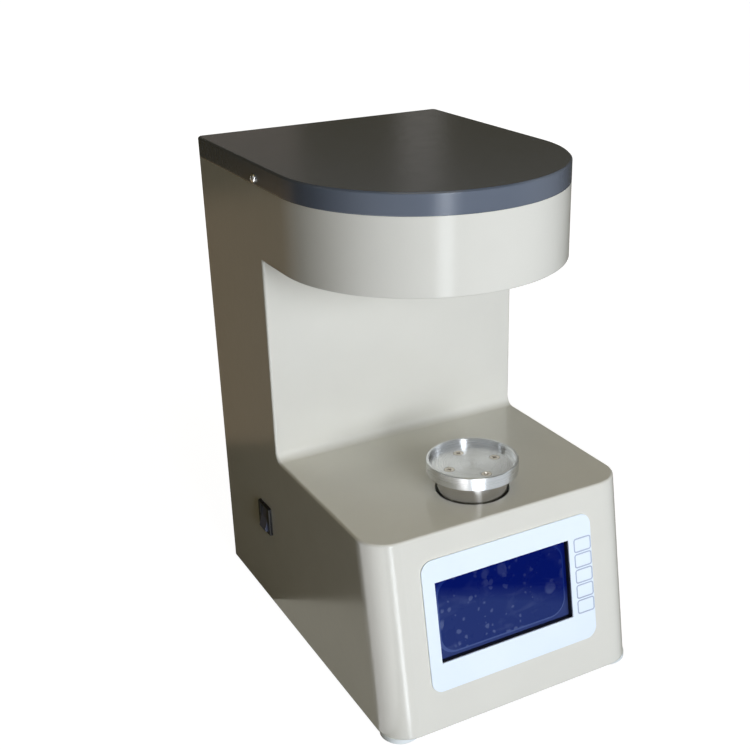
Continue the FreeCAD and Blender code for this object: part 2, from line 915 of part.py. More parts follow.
def make_feet():
    """Four round plastic feet, each with a recess for its screw."""
    feet = Piece("feet")
    feet.pad("XY", 0, size.foot_height, *(disc(x, y, size.foot_radius) for x, y in foot_places))
    feet.chamfer(size.foot_edge, edge_at(z=0))
    head = size.large_head / 2 + size.panel_gap
    feet.cut_from("XY", 0, size.foot_recess, *(disc(x, y, head) for x, y in foot_places))
    feet.cut_through("XY", 0, size.foot_height, *(disc(x, y, large_hole) for x, y in foot_places))


# Sample stage and its lift

tray_top = base_top + size.tray_rise
post_high = tray_top - size.tray_height
carriage_top = case_floor + size.carriage_rise
carriage_low = carriage_top - size.carriage_thickness
motor_low = case_floor + size.floor_sheet + size.motor_rise
motor_top = motor_low + size.motor_length
lift_top = motor_top + size.lift_plate
rod_x = size.rod_spacing / 2
guide_top = base_top - size.sheet - size.top_plate_drop
guide_low = guide_top - size.top_plate
coupling_low = lift_top + size.coupling_rise
screw_low = coupling_low + size.coupling_length / 2
shaft_top = screw_low - size.shaft_gap
screw_top = post_high - size.post_top - size.screw_top_gap
tray_screw_spots = [(size.tray_screw_circle, 0), (0, size.tray_screw_circle)]
tray_screw_spots += [(-size.tray_screw_circle, 0), (0, -size.tray_screw_circle)]
motor_bolt = size.motor_bolt_square / 2
motor_bolts = [(x, y) for x in (-motor_bolt, motor_bolt) for y in (-motor_bolt, motor_bolt)]
gate_back = size.lift_plate_back
gate_front = gate_back - size.gate_depth


def make_sample_tray():
    """The turned dish that the sample vessel stands in, with four countersunk holes."""
    tray = Piece("sample_tray", at=(0, 0, post_high))
    rim = size.tray_radius - size.tray_wall
    floor = size.tray_height - size.tray_recess
    edge = size.tray_edge
    tray.turned(
        (0, 0),
        (size.tray_radius, 0),
        (size.tray_radius, size.tray_height - edge),
        (size.tray_radius - edge, size.tray_height),
        (rim + edge, size.tray_height),
        (rim, size.tray_height - edge),
        (rim, floor),
        (size.centre_mark_radius, floor),
        (0, floor - size.centre_mark_depth),
    )
    sink = size.large_head / 2 + size.clear_hole
    hole = tray.sketch("XZ", 0, [])
    countersink = path(
        (size.tray_screw_circle, -size.cut_past),
        (size.tray_screw_circle + large_hole, -size.cut_past),
        (size.tray_screw_circle + large_hole, floor - size.large_head_rise),
        (size.tray_screw_circle + sink, floor),
        (size.tray_screw_circle + sink, floor + size.cut_past),
        (size.tray_screw_circle, floor + size.cut_past),
    )
    countersink(hole)
    line = hole.addGeometry(Part.LineSegment(Vector(), Vector(0, 1, 0)), True)
    hold(hole, line, Spot.START, x=size.tray_screw_circle, y=0)
    hold(hole, line, Spot.END, x=size.tray_screw_circle, y=size.tray_height * 2)
    groove = tray.body.newObject("PartDesign::Groove", "tray_countersink")
    groove.Profile = hole
    groove.ReferenceAxis = (hole, ["Axis0"])
    groove.Angle = 360
    doc.recompute()
    tray.repeat_around(groove, 4)


def make_stage_post():
    """The turned tube that carries the tray, closed on top and flanged below."""
    post = Piece("stage_post")
    bore = size.post_radius - size.post_wall
    post.turned(
        (0, post_high - size.post_top),
        (bore, post_high - size.post_top),
        (bore, carriage_top),
        (size.post_flange_radius, carriage_top),
        (size.post_flange_radius, carriage_top + size.post_flange),
        (size.post_radius, carriage_top + size.post_flange),
        (size.post_radius, post_high),
        (0, post_high),
    )
    holes = [disc(x, y, large_thread) for x, y in tray_screw_spots]
    post.cut_through("XY", post_high - size.post_top, size.post_top, *holes)


def make_carriage():
    """The plate that joins post, nut and bushings, with the flag of the limit sensors."""
    carriage = Piece("carriage")
    half = size.carriage_width / 2
    deep = size.carriage_depth / 2
    plan = box(-half, -deep, half, deep)
    carriage.pad("XY", carriage_low, size.carriage_thickness, plan)
    flag_end = gate_front + size.gate_slot_depth - size.flag_gap
    flag = box(-size.flag_thickness / 2, 0, size.flag_thickness / 2, flag_end)
    carriage.pad("XY", carriage_low, size.carriage_thickness, flag)
    holes = [disc(side * rod_x, 0, size.bushing_radius) for side in (-1, 1)]
    holes.append(disc(0, 0, size.nut_radius + size.clear_hole))
    carriage.cut_through("XY", carriage_low, size.carriage_thickness, *holes)


def make_lift_frame():
    """Two plates, four pillars and two guide rods that the stage runs on."""
    half = size.lift_plate_width / 2
    plan = box(-half, -size.lift_plate_front, half, size.lift_plate_back)
    lower = Piece("lift_lower_plate")
    lower.pad("XY", motor_top, size.lift_plate, plan)
    bolts = [disc(x, y, small_hole) for x, y in motor_bolts]
    rods = [disc(side * rod_x, 0, size.rod_radius) for side in (-1, 1)]
    pilot = disc(0, 0, size.motor_pilot + size.clear_hole)
    lower.cut_through("XY", motor_top, size.lift_plate, pilot, *bolts, *rods)
    upper = Piece("lift_upper_plate")
    upper.pad("XY", guide_low, size.top_plate, plan)
    post_hole = disc(0, 0, size.post_radius + size.stage_hole_gap)
    upper.cut_through("XY", guide_low, size.top_plate, post_hole, *rods)
    guides = Piece("guide_rods")
    guides.pad("XY", motor_top, guide_top - motor_top, *rods)
    bushings = Piece("linear_bushings")
    middle = carriage_low + size.carriage_thickness / 2
    rings = [
        disc(side * rod_x, 0, radius)
        for side in (-1, 1)
        for radius in (size.bushing_radius, size.rod_radius + size.running_fit)
    ]
    bushings.pad("XY", middle - size.bushing_length / 2, size.bushing_length, *rings)
    pillars = Piece("lift_pillars")
    floor = case_floor + size.floor_sheet
    spots = on_both_sides(size.pillar_x, (-size.pillar_y, size.pillar_y))
    posts = [hexagon(x, y, size.pillar_radius) for x, y in spots]
    pillars.pad("XY", floor, motor_top - floor, *posts)


def make_lift_drive():
    """The stepper motor, and what turns with its shaft: coupling and lead screw."""
    motor = Piece("stepper_motor")
    half = size.motor_side / 2
    square = clipped(-half, -half, half, half, size.motor_corner)
    motor.pad("XY", motor_low, size.motor_length, square)
    motor.pad("XY", motor_top, size.motor_pilot_height, disc(0, 0, size.motor_pilot))
    bore = disc(0, 0, size.motor_shaft_radius + size.running_fit)
    shaft_low = motor_top - size.motor_shaft_depth
    bore_low = shaft_low - size.shaft_gap
    motor.cut("XY", bore_low, lift_top - bore_low, bore)
    threads = [disc(x, y, small_thread) for x, y in motor_bolts]
    motor.cut("XY", motor_top - size.motor_thread_depth, size.motor_thread_depth + size.cut_past, *threads)
    shaft = Piece("motor_shaft")
    shaft.pad("XY", shaft_low, shaft_top - shaft_low, disc(0, 0, size.motor_shaft_radius))
    coupling = Piece("shaft_coupling")
    coupling.pad("XY", coupling_low, size.coupling_length, disc(0, 0, size.coupling_radius))
    middle = coupling_low + size.coupling_length / 2
    bore_length = size.coupling_length / 2
    coupling.cut_from("XY", coupling_low, bore_length, disc(0, 0, size.motor_shaft_radius))
    coupling.cut("XY", middle, bore_length + size.cut_past, disc(0, 0, size.screw_radius))
    screw = Piece("lead_screw")
    screw.pad("XY", screw_low, screw_top - screw_low, disc(0, 0, size.screw_radius))
    screw.chamfer(size.tray_edge, edge_at(z=screw_top))
    nut = Piece("lead_nut")
    bore_radius = size.screw_radius + size.running_fit
    low = carriage_top - size.nut_reach
    nut.turned(
        (bore_radius, low),
        (size.nut_radius, low),
        (size.nut_radius, carriage_top),
        (size.nut_flange_radius, carriage_top),
        (size.nut_flange_radius, carriage_top + size.nut_flange),
        (bore_radius, carriage_top + size.nut_flange),
    )


def make_limit_sensors():
    """A bracket behind the lift, with two forked light gates that the carriage's flag enters
    at either end of its travel."""
    bracket = Piece("sensor_bracket")
    half = size.gate_bracket_width / 2
    bracket.pad("XZ", gate_back, size.gate_bracket_sheet, box(-half, motor_top, half, guide_top))
    outer = size.gate_width / 2
    inner = size.gate_slot_width / 2
    slot_end = gate_front + size.gate_slot_depth
    fork = path(
        (-outer, gate_front),
        (-inner, gate_front),
        (-inner, slot_end),
        (inner, slot_end),
        (inner, gate_front),
        (outer, gate_front),
        (outer, gate_back),
        (-outer, gate_back),
    )
    gates = Piece("limit_gates")
    low = carriage_low - size.travel_down - size.gate_gap
    high = carriage_top + size.travel_up + size.gate_gap - size.gate_height
    gates.pad("XY", low, size.gate_height, fork)
    gates.pad("XY", high, size.gate_height, fork)


# Display and keys

def make_front_panel():
    """The laminated panel on the nose, open over the display and round each key."""
    panel = Piece("front_panel", **ON_NOSE)
    half = panel_width / 2
    low = -size.panel_drop - panel_height
    outline = rounded(-half, low, half, -size.panel_drop, size.panel_radius)
    panel.pad("XZ", -size.panel_thickness, size.panel_thickness, outline)
    window = box(-window_left, window_low, window_right, -window_drop)
    panel.cut_through("XZ", -size.panel_thickness, size.panel_thickness, window)
    gap = size.key_gap
    top = gap - key_drop
    low = -key_drop - size.key_height - gap
    hole = clipped(key_left - gap, low, key_right + gap, top, size.key_corner)
    first = panel.cut_through("XZ", -size.panel_thickness, size.panel_thickness, hole)
    panel.repeat_along(first, KEY_COUNT, key_pitch, down=True)


def make_keys():
    """Five keys, each a pad flush with the panel on a stem that reaches its switch."""
    stem_end = size.key_board_gap - size.key_switch_height - size.key_travel - size.seat_gap
    for number in range(KEY_COUNT):
        key = Piece(f"key_{number + 1}", **ON_NOSE)
        top = -key_drop - key_pitch * number
        pad = clipped(key_left, top - size.key_height, key_right, top, size.key_corner)
        key.pad("XZ", -size.panel_thickness, size.key_pad, pad)
        middle = top - size.key_height / 2
        start = size.key_pad - size.panel_thickness
        key.pad("XZ", start, stem_end - start, disc(key_x, middle, size.key_stem_radius))
    board = Piece("key_board", **ON_NOSE)
    half = size.key_board_width / 2
    margin = size.key_board_margin
    outline = box(key_x - half, -key_bottom - margin, key_x + half, margin - key_drop)
    board.pad("XZ", size.key_board_gap, size.board_thickness, outline)
    switches = Piece("key_switches", **ON_NOSE)
    middles = [-key_drop - key_pitch * n - size.key_height / 2 for n in range(KEY_COUNT)]
    side = size.key_switch_side
    squares = [block(key_x, middle, side, side) for middle in middles]
    depth = size.key_switch_height
    switches.pad("XZ", size.key_board_gap - depth, depth, *squares)


def make_display():
    """The display module: metal frame, glass, circuit board and the studs that hold it."""
    centre_x = size.window_width / 2 - window_left
    centre_z = window_low + size.window_height / 2
    frame_start = size.sheet + size.seat_gap
    frame_end = frame_start + size.frame_depth
    opening_width = size.window_width + size.panel_gap * 2
    opening_height = size.window_height + size.panel_gap * 2
    frame = Piece("display_frame", **ON_NOSE)
    rim = size.frame_rim * 2
    ring = [
        block(centre_x, centre_z, opening_width + rim, opening_height + rim),
        block(centre_x, centre_z, opening_width, opening_height),
    ]
    frame.pad("XZ", frame_start, size.frame_depth, *ring)
    glass = Piece("display_glass", **ON_NOSE)
    pane = block(centre_x, centre_z, opening_width - size.panel_gap, opening_height - size.panel_gap)
    glass_face = size.window_recess - size.panel_thickness
    glass.pad("XZ", glass_face, size.glass_thickness, pane)
    backlight = Piece("display_backlight", **ON_NOSE)
    behind = glass_face + size.glass_thickness
    backlight.pad("XZ", behind, frame_end - behind, pane)
    board = Piece("display_board", **ON_NOSE)
    board_width = size.window_width + size.display_board_side * 2
    board_height = size.window_height + size.display_board_above * 2
    outline = block(centre_x, centre_z, board_width, board_height)
    board.pad("XZ", frame_end, size.board_thickness, outline)
    studs = Piece("nose_studs", **ON_NOSE)
    across = board_width / 2 - size.stud_inset
    up = board_height / 2 - size.stud_inset
    spots = [
        hexagon(centre_x + x, centre_z + z, size.stud_radius) for x, z in on_both_sides(across, (-up, up))
    ]
    studs.pad("XZ", size.sheet, frame_end - size.sheet, *spots)
    margin = size.key_board_margin / 2
    spots = [hexagon(key_x, z, size.key_stem_radius) for z in (margin - key_drop, -key_bottom - margin)]
    studs.pad("XZ", size.sheet, size.key_board_gap - size.sheet, *spots)


# Power switch and inlet

def make_power_switch():
    """The rocker switch: a bezelled body in the left side, and the rocker on its trunnions."""
    body = Piece("power_switch_body", at=(-half_width, switch_y, switch_z))
    bezel = rounded_block(0, 0, size.bezel_width, size.bezel_height, size.bezel_radius)
    body.pad("YZ", -size.bezel_rise, size.bezel_rise, bezel)
    body.chamfer(size.switch_edge, edge_at(x=-size.bezel_rise))
    barrel = block(0, 0, size.switch_body_width, size.switch_body_height)
    body.pad("YZ", 0, size.switch_body_depth, barrel)
    well = block(
        0, 0, size.rocker_width + size.rocker_gap * 2, size.rocker_radius * 2 + size.rocker_gap * 2
    )
    depth = size.rocker_radius + size.rocker_well_gap
    body.cut_from("YZ", -size.bezel_rise, size.bezel_rise + depth, well)
    bearing = disc(0, 0, size.trunnion_radius + size.running_fit)
    reach = size.rocker_width / 2 + size.trunnion_length
    body.cut("XZ", -reach - size.rocker_gap, (reach + size.rocker_gap) * 2, bearing)
    tabs = [
        block(0, end * size.switch_tab_spacing / 2, size.switch_tab_width, size.switch_tab_height)
        for end in (-1, 1)
    ]
    body.pad("YZ", size.switch_body_depth, size.switch_tab_length, *tabs)
    rocker = Piece(
        "power_rocker", at=(-half_width, switch_y, switch_z), turn=((0, 1, 0), size.rocker_tilt)
    )
    crest_z = root(size.rocker_radius * size.rocker_radius - size.rocker_crest * size.rocker_crest)
    skirt_z = root(size.rocker_radius * size.rocker_radius - size.rocker_skirt * size.rocker_skirt)
    section = path(
        (-size.rocker_valley, 0),
        (-size.rocker_crest, -crest_z, 0, 0),
        (size.rocker_skirt, -skirt_z),
        (size.rocker_skirt, skirt_z, 0, 0),
        (-size.rocker_crest, crest_z),
    )
    rocker.pad("XZ", -size.rocker_width / 2, size.rocker_width, section)
    trunnion = disc(0, 0, size.trunnion_radius)
    rocker.pad("XZ", -reach, reach * 2, trunnion)


inlet_face = case_back + size.rear_sheet + size.inlet_flange
inlet_floor = inlet_face - size.inlet_depth


def make_power_inlet():
    """The mains inlet: a flanged socket body with three blades inside."""
    inlet = Piece("power_inlet")
    flange_start = inlet_face - size.inlet_flange
    flange = rounded_block(
        inlet_x, size.inlet_height, size.inlet_flange_width, size.inlet_flange_height, size.inlet_corner
    )
    inlet.pad("XZ", flange_start, size.inlet_flange, flange)
    shell = inlet_outline(size.inlet_body_width, size.inlet_body_height, size.inlet_chamfer)
    back = inlet_floor - size.inlet_back
    inlet.pad("XZ", back, flange_start - back, shell)
    mouth = inlet_outline(
        size.inlet_body_width - size.inlet_wall * 2,
        size.inlet_body_height - size.inlet_wall * 2,
        size.inlet_chamfer,
    )
    inlet.cut("XZ", inlet_floor, size.inlet_depth + size.cut_past, mouth)
    screw_holes = [disc(x, z, small_hole) for x, z in inlet_screws]
    inlet.cut_through("XZ", flange_start, size.inlet_flange, *screw_holes)
    pins = Piece("inlet_pins")
    half = size.inlet_pin_spacing / 2
    low = size.inlet_height - size.inlet_pin_drop
    spots = [(inlet_x - half, low), (inlet_x + half, low), (inlet_x, low + size.inlet_pin_height)]
    blades = [block(x, z, size.inlet_pin_width, size.inlet_pin_height) for x, z in spots]
    inlet.cut_through("XZ", back, size.inlet_back, *blades)
    start = back - size.inlet_tab
    pins.pad("XZ", start, inlet_face - size.inlet_pin_setback - start, *blades)


# Force balance

plate_low = head_floor + size.sheet + size.balance_spacer
plate_top = plate_low + size.balance_plate
pivot_z = plate_top + size.pivot_rise
beam_low = pivot_z - size.beam_height / 2
beam_high = pivot_z + size.beam_height / 2
coil_y = size.pivot_setback + size.coil_arm
beam_end = size.pivot_setback + size.beam_tail


def make_balance_frame():
    """The balance's bed plate on four spacers, its fulcrum, and the arch that stops the beam."""
    bed = Piece("balance_bed")
    half = size.balance_width / 2
    bed.pad("XY", plate_low, size.balance_plate, box(-half, -size.balance_front, half, size.balance_rear))
    bed.cut_through("XY", plate_low, size.balance_plate, disc(0, 0, size.hook_hole_radius))
    spacers = Piece("balance_spacers")
    inset = size.balance_spacer_inset
    places = on_both_sides(half - inset, (inset - size.balance_front, size.balance_rear - inset))
    spots = [hexagon(x, y, size.balance_spacer_radius) for x, y in places]
    spacers.pad("XY", head_floor + size.sheet, size.balance_spacer, *spots)
    fulcrum = Piece("fulcrum_block")
    inner = size.beam_width / 2 + size.fulcrum_gap
    outer = inner + size.fulcrum_wall
    top = pivot_z + size.fulcrum_cap
    bottom = beam_low - size.fulcrum_clearance
    section = path(
        (-outer, plate_top),
        (outer, plate_top),
        (outer, top),
        (inner, top),
        (inner, bottom),
        (-inner, bottom),
        (-inner, top),
        (-outer, top),
    )
    fulcrum.pad("XZ", size.pivot_setback - size.fulcrum_depth / 2, size.fulcrum_depth, section)
    bearing = disc(size.pivot_setback, pivot_z, size.pivot_radius)
    fulcrum.cut_through("YZ", -outer, outer * 2, bearing)
    pin = Piece("pivot_pin")
    pin.pad("YZ", -outer, outer * 2, disc(size.pivot_setback, pivot_z, size.pivot_radius))
    stops = Piece("beam_stops")
    inner = size.beam_width / 2 + size.stop_side_gap
    outer = inner + size.stop_wall
    over = beam_high + size.stop_gap
    arch = box(-outer, plate_top, outer, over + size.stop_wall)
    tunnel = box(-inner, beam_low - size.stop_gap, inner, over)
    stops.pad("XZ", size.stop_setback - size.stop_depth / 2, size.stop_depth, arch, tunnel)


def make_beam():
    """The balance beam on its pivot, with coil, counterweight and the pin of the hook."""
    beam = Piece("balance_beam")
    half = size.beam_width / 2
    nose = size.beam_nose_height / 2
    side = path(
        (-size.beam_nose, pivot_z - nose),
        (size.beam_taper, beam_low),
        (beam_end, beam_low),
        (beam_end, beam_high),
        (size.beam_taper, beam_high),
        (-size.beam_nose, pivot_z + nose),
    )
    beam.pad("YZ", -half, size.beam_width, side)
    slot = size.hook_eye_width / 2 + size.hook_slot_gap
    fork = box(-slot, -size.beam_nose - size.cut_past, slot, size.hook_slot_depth)
    beam.cut_through("XY", beam_low, size.beam_height, fork)
    bores = [
        disc(size.pivot_setback, pivot_z, size.pivot_radius + size.running_fit),
        disc(0, pivot_z, size.hook_pin_radius),
    ]
    windows = [
        block(size.pivot_setback + step, pivot_z, size.beam_window, size.beam_height / 2)
        for step in (-size.beam_window_offset, size.beam_window_offset)
    ]
    beam.cut_through("YZ", -half, size.beam_width, *bores, *windows)
    pin = Piece("hook_pin")
    pin.pad("YZ", -half, size.beam_width, disc(0, pivot_z, size.hook_pin_radius))
    coil = Piece("force_coil", at=(0, coil_y, 0))
    bore = size.coil_radius - size.coil_wall
    low = beam_low - size.coil_height
    coil.turned(
        (bore, low),
        (size.coil_radius, low),
        (size.coil_radius, beam_low),
        (0, beam_low),
        (0, beam_low - size.coil_wall),
        (bore, beam_low - size.coil_wall),
    )
    weight = Piece("counterweight")
    weight.pad("XZ", beam_end, size.weight_length, disc(0, pivot_z, size.weight_radius))
    weight.chamfer(size.weight_edge, edge_at(y=beam_end + size.weight_length))


def make_magnet():
    """The magnet pot under the coil: a floor, a core and an outer ring with a gap between."""
    magnet = Piece("magnet_pot", at=(0, coil_y, 0))
    floor = plate_top + size.magnet_floor
    top = plate_top + size.magnet_height
    magnet.turned(
        (0, plate_top),
        (size.magnet_radius, plate_top),
        (size.magnet_radius, top),
        (size.magnet_gap_radius, top),
        (size.magnet_gap_radius, floor),
        (size.magnet_core, floor),
        (size.magnet_core, top),
        (0, top),
    )


def make_hook():
    """The hook that carries the measuring ring: a flat open hook on a rod that comes down
    through the head's floor from an eye on the beam's pin. A grommet lines the floor's hole."""
    hook = Piece("ring_hook", at=(0, 0, pivot_z))
    drop = size.hook_drop + pivot_z - head_floor
    outer = size.hook_bend + size.hook_rod_radius
    inner = size.hook_bend - size.hook_rod_radius
    loop = [disc(-size.hook_bend, -drop, outer), disc(-size.hook_bend, -drop, inner)]
    hook.pad("YZ", -size.hook_plate / 2, size.hook_plate, *loop)
    mouth = box(-size.hook_bend * 2 - size.cut_past * 2, -drop, size.hook_bend, outer - drop + size.cut_past)
    hook.cut_through("YZ", -size.hook_plate / 2, size.hook_plate, mouth)
    start = (size.hook_pin_radius + size.hook_eye_radius) / 2 + size.running_fit
    hook.pad("XY", -drop, drop - start, disc(0, 0, size.hook_rod_radius))
    eye = [
        disc(0, 0, size.hook_eye_radius),
        disc(0, 0, size.hook_pin_radius + size.running_fit),
    ]
    hook.pad("YZ", -size.hook_eye_width / 2, size.hook_eye_width, *eye)
    grommet = Piece("hook_grommet")
    inner = size.hook_hole_radius - size.grommet_wall
    outer = size.hook_hole_radius + size.grommet_lip
    grommet.turned(
        (inner, head_floor - size.grommet_rim),
        (outer, head_floor - size.grommet_rim),
        (outer, head_floor),
        (size.hook_hole_radius, head_floor),
        (size.hook_hole_radius, head_floor + size.sheet),
        (inner, head_floor + size.sheet),
    )


# Electronics

board_low = case_floor + size.floor_sheet + size.board_standoff
balance_board_low = head_floor + size.sheet + size.board_standoff

# each component's place from the board's centre, its size on the board, and its height
MAIN_BOARD_COMPONENTS = [
    (-14.0, 10.0, 18.0, 18.0, 3.0),
    (18.0, 20.0, 12.0, 24.0, 3.5),
    (-20.0, -36.0, 16.0, 30.0, 12.0),
    (12.0, -20.0, 20.0, 12.0, 9.0),
    (26.0, -44.0, 10.0, 26.0, 10.0),
    (-10.0, 44.0, 40.0, 8.0, 9.0),
]


def board_on_standoffs(board, standoffs, low, centre, width, depth):
    """A circuit board about a centre, on a standoff near each corner."""
    x, y = centre
    board.pad("XY", low, size.board_thickness, block(x, y, width, depth))
    across = width / 2 - size.standoff_inset
    along = depth / 2 - size.standoff_inset
    places = on_both_sides(across, (-along, along))
    spots = [hexagon(x + dx, y + dy, size.standoff_radius) for dx, dy in places]
    standoffs.pad("XY", low - size.board_standoff, size.board_standoff, *spots)


def make_electronics():
    """The controller board and the power supply on the floor, and the balance's own board."""
    board = Piece("main_board")
    balance_board = Piece("balance_board")
    standoffs = Piece("board_standoffs")
    board_x = flange_inner - size.board_side_gap - size.main_board_width / 2
    board_y = flange_back - size.board_back_gap - size.main_board_depth / 2
    board_area = (size.main_board_width, size.main_board_depth)
    board_on_standoffs(board, standoffs, board_low, (board_x, board_y), *board_area)
    balance_place = (half_width - size.balance_board_inset, size.balance_board_y)
    balance_area = (size.balance_board_width, size.balance_board_depth)
    board_on_standoffs(balance_board, standoffs, balance_board_low, balance_place, *balance_area)
    components = Piece("board_components")
    for dx, dy, width, depth, height in MAIN_BOARD_COMPONENTS:
        plan = block(board_x + dx, board_y + dy, as_size(width), as_size(depth))
        components.pad("XY", board_low + size.board_thickness, as_size(height), plan)
    supply = Piece("power_supply")
    floor = case_floor + size.floor_sheet
    left = size.board_side_gap - flange_inner
    right = board_x - size.main_board_width / 2 - size.supply_board_gap
    back = flange_back - size.supply_back_gap
    front = back - size.supply_depth
    corner = size.supply_corner
    supply.pad("XY", floor, size.supply_height, clipped(left, front, right, back, corner))
    ledge = box(left + corner, front - size.cut_past, right - corner, front + size.supply_ledge)
    supply.cut("XY", floor + size.supply_ledge_height, size.supply_height, ledge)


# Fasteners: groups of separate solids

def cross_recess(width, depth):
    """A cross slot, cut down from z = 0."""
    arm = width / 4
    slots = [
        Part.makeBox(width, arm, depth, Vector(-width / 2, -arm / 2, -depth)),
        Part.makeBox(arm, width, depth, Vector(-arm / 2, -width / 2, -depth)),
    ]
    return slots[0].fuse(slots[1])


def turned_screw(*profile):
    """A screw along Z from the corners (radius, height) of its profile."""
    corners = [Vector(radius, 0, height) for radius, height in profile]
    outline = Part.makePolygon(corners + corners[:1])
    return Part.Face(outline).revolve(Vector(), Vector(0, 0, 1), 360)


def raised_screw(shank, head, rise, length):
    """A flat-topped screw along -Z, its head standing on z = 0."""
    return turned_screw(
        (0, -length), (shank, -length), (shank, 0), (head, 0), (head, rise), (0, rise)
    )


def sunk_screw(shank, head, rise, length):
    """A countersunk cross-head screw along -Z, its head flush with z = 0."""
    screw = turned_screw((0, -length), (shank, -length), (shank, -rise), (head, 0), (0, 0))
    return screw.cut(cross_recess(head * 1.1, rise * 0.6))


def fasteners(label, screw, spots):
    """One sub-part holding a copy of the screw at each spot (place, direction of the head)."""
    copies = []
    for place, facing in spots:
        copy = screw.copy()
        where = Vector(*(as_size(p).value for p in place))
        copy.Placement = Placement(where, Rotation(Vector(0, 0, 1), Vector(*facing)))
        copies.append(copy)
    group = doc.addObject("Part::Feature", label)
    group.Label = label
    group.Shape = Part.makeCompound(copies)
    parts.append(group)


def make_fasteners():
    """Every visible screw, and those that hold the stage and the motor."""
    small = [length.value for length in (small_shank, size.small_head / 2, size.small_head_rise)]
    large = [length.value for length in (large_shank, size.large_head / 2, size.large_head_rise)]
    cover = [length.value for length in (large_shank, size.cover_head / 2, size.small_head_rise)]
    short = size.small_screw_length.value
    long = size.large_screw_length.value
    up, down, back = (0, 0, 1), (0, 0, -1), (0, 1, 0)
    rear_y = case_back + size.rear_sheet
    panel = [((x, rear_y, z), back) for x, z in rear_screws]
    panel += [((x, y, case_floor), down) for x, y in floor_screws]
    panel += [((x, inlet_face, z), back) for x, z in inlet_screws]
    fasteners("panel_screws", raised_screw(*small, short), panel)
    sides = [((side * half_width, cover_screw_y, cover_screw_z), (side, 0, 0)) for side in (-1, 1)]
    fasteners("cover_screws", raised_screw(*cover, short), sides)
    feet = [((x, y, size.foot_recess), down) for x, y in foot_places]
    fasteners("foot_screws", raised_screw(*large, long), feet)
    tray = [((x, y, tray_top - size.tray_recess), up) for x, y in tray_screw_spots]
    fasteners("tray_screws", sunk_screw(*large, long), tray)
    motor = [((x, y, lift_top), up) for x, y in motor_bolts]
    fasteners("motor_screws", raised_screw(*small, short), motor)


for make in (
    make_main_housing,
    make_top_cover,
    make_rear_panel,
    make_base_plate,
    make_feet,
    make_sample_tray,
    make_stage_post,
    make_carriage,
    make_lift_frame,
    make_lift_drive,
    make_limit_sensors,
    make_front_panel,
    make_keys,
    make_display,
    make_power_switch,
    make_power_inlet,
    make_balance_frame,
    make_beam,
    make_magnet,
    make_hook,
    make_electronics,
    make_fasteners,
):
    make()
doc.recompute()

for thing in doc.Objects:
    if {"Invalid", "Error"} & set(thing.State):
        raise ValueError(f"{thing.Label} failed: {thing.State}")
for part in parts:
    if part.Shape.isNull() or not part.Shape.isValid() or not part.Shape.Solids:
        raise ValueError(f"{part.Label} has no valid solid")

os.makedirs("parts", exist_ok=True)
for part in parts:
    part.Shape.exportStep(f"parts/{part.Label}.step")
print(f"{len(parts)} sub-parts")
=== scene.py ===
import json
import math

import bmesh
import bpy
from mathutils import Matrix, Vector


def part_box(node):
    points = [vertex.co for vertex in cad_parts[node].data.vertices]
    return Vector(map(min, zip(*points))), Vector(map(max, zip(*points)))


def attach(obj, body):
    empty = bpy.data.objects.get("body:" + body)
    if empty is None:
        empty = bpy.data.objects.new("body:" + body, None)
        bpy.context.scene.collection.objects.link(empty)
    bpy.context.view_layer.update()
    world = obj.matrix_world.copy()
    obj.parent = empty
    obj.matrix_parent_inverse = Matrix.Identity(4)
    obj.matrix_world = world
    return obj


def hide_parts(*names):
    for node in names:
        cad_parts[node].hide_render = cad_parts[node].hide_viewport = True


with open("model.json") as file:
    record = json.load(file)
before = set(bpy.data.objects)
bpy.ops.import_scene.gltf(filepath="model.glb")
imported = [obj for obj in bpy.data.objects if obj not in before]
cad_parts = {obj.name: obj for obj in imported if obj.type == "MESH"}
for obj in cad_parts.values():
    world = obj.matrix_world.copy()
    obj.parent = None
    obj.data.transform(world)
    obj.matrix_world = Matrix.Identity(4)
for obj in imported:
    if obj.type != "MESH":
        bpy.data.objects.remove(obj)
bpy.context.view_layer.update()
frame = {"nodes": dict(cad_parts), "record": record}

MM = 0.001
nodes = frame["nodes"]


# Colours and materials


def srgb(red, green, blue):
    """A colour from its 0 to 255 screen values."""

    def linear(value):
        value /= 255
        return value / 12.92 if value <= 0.04045 else ((value + 0.055) / 1.055) ** 2.4

    return (linear(red), linear(green), linear(blue), 1.0)


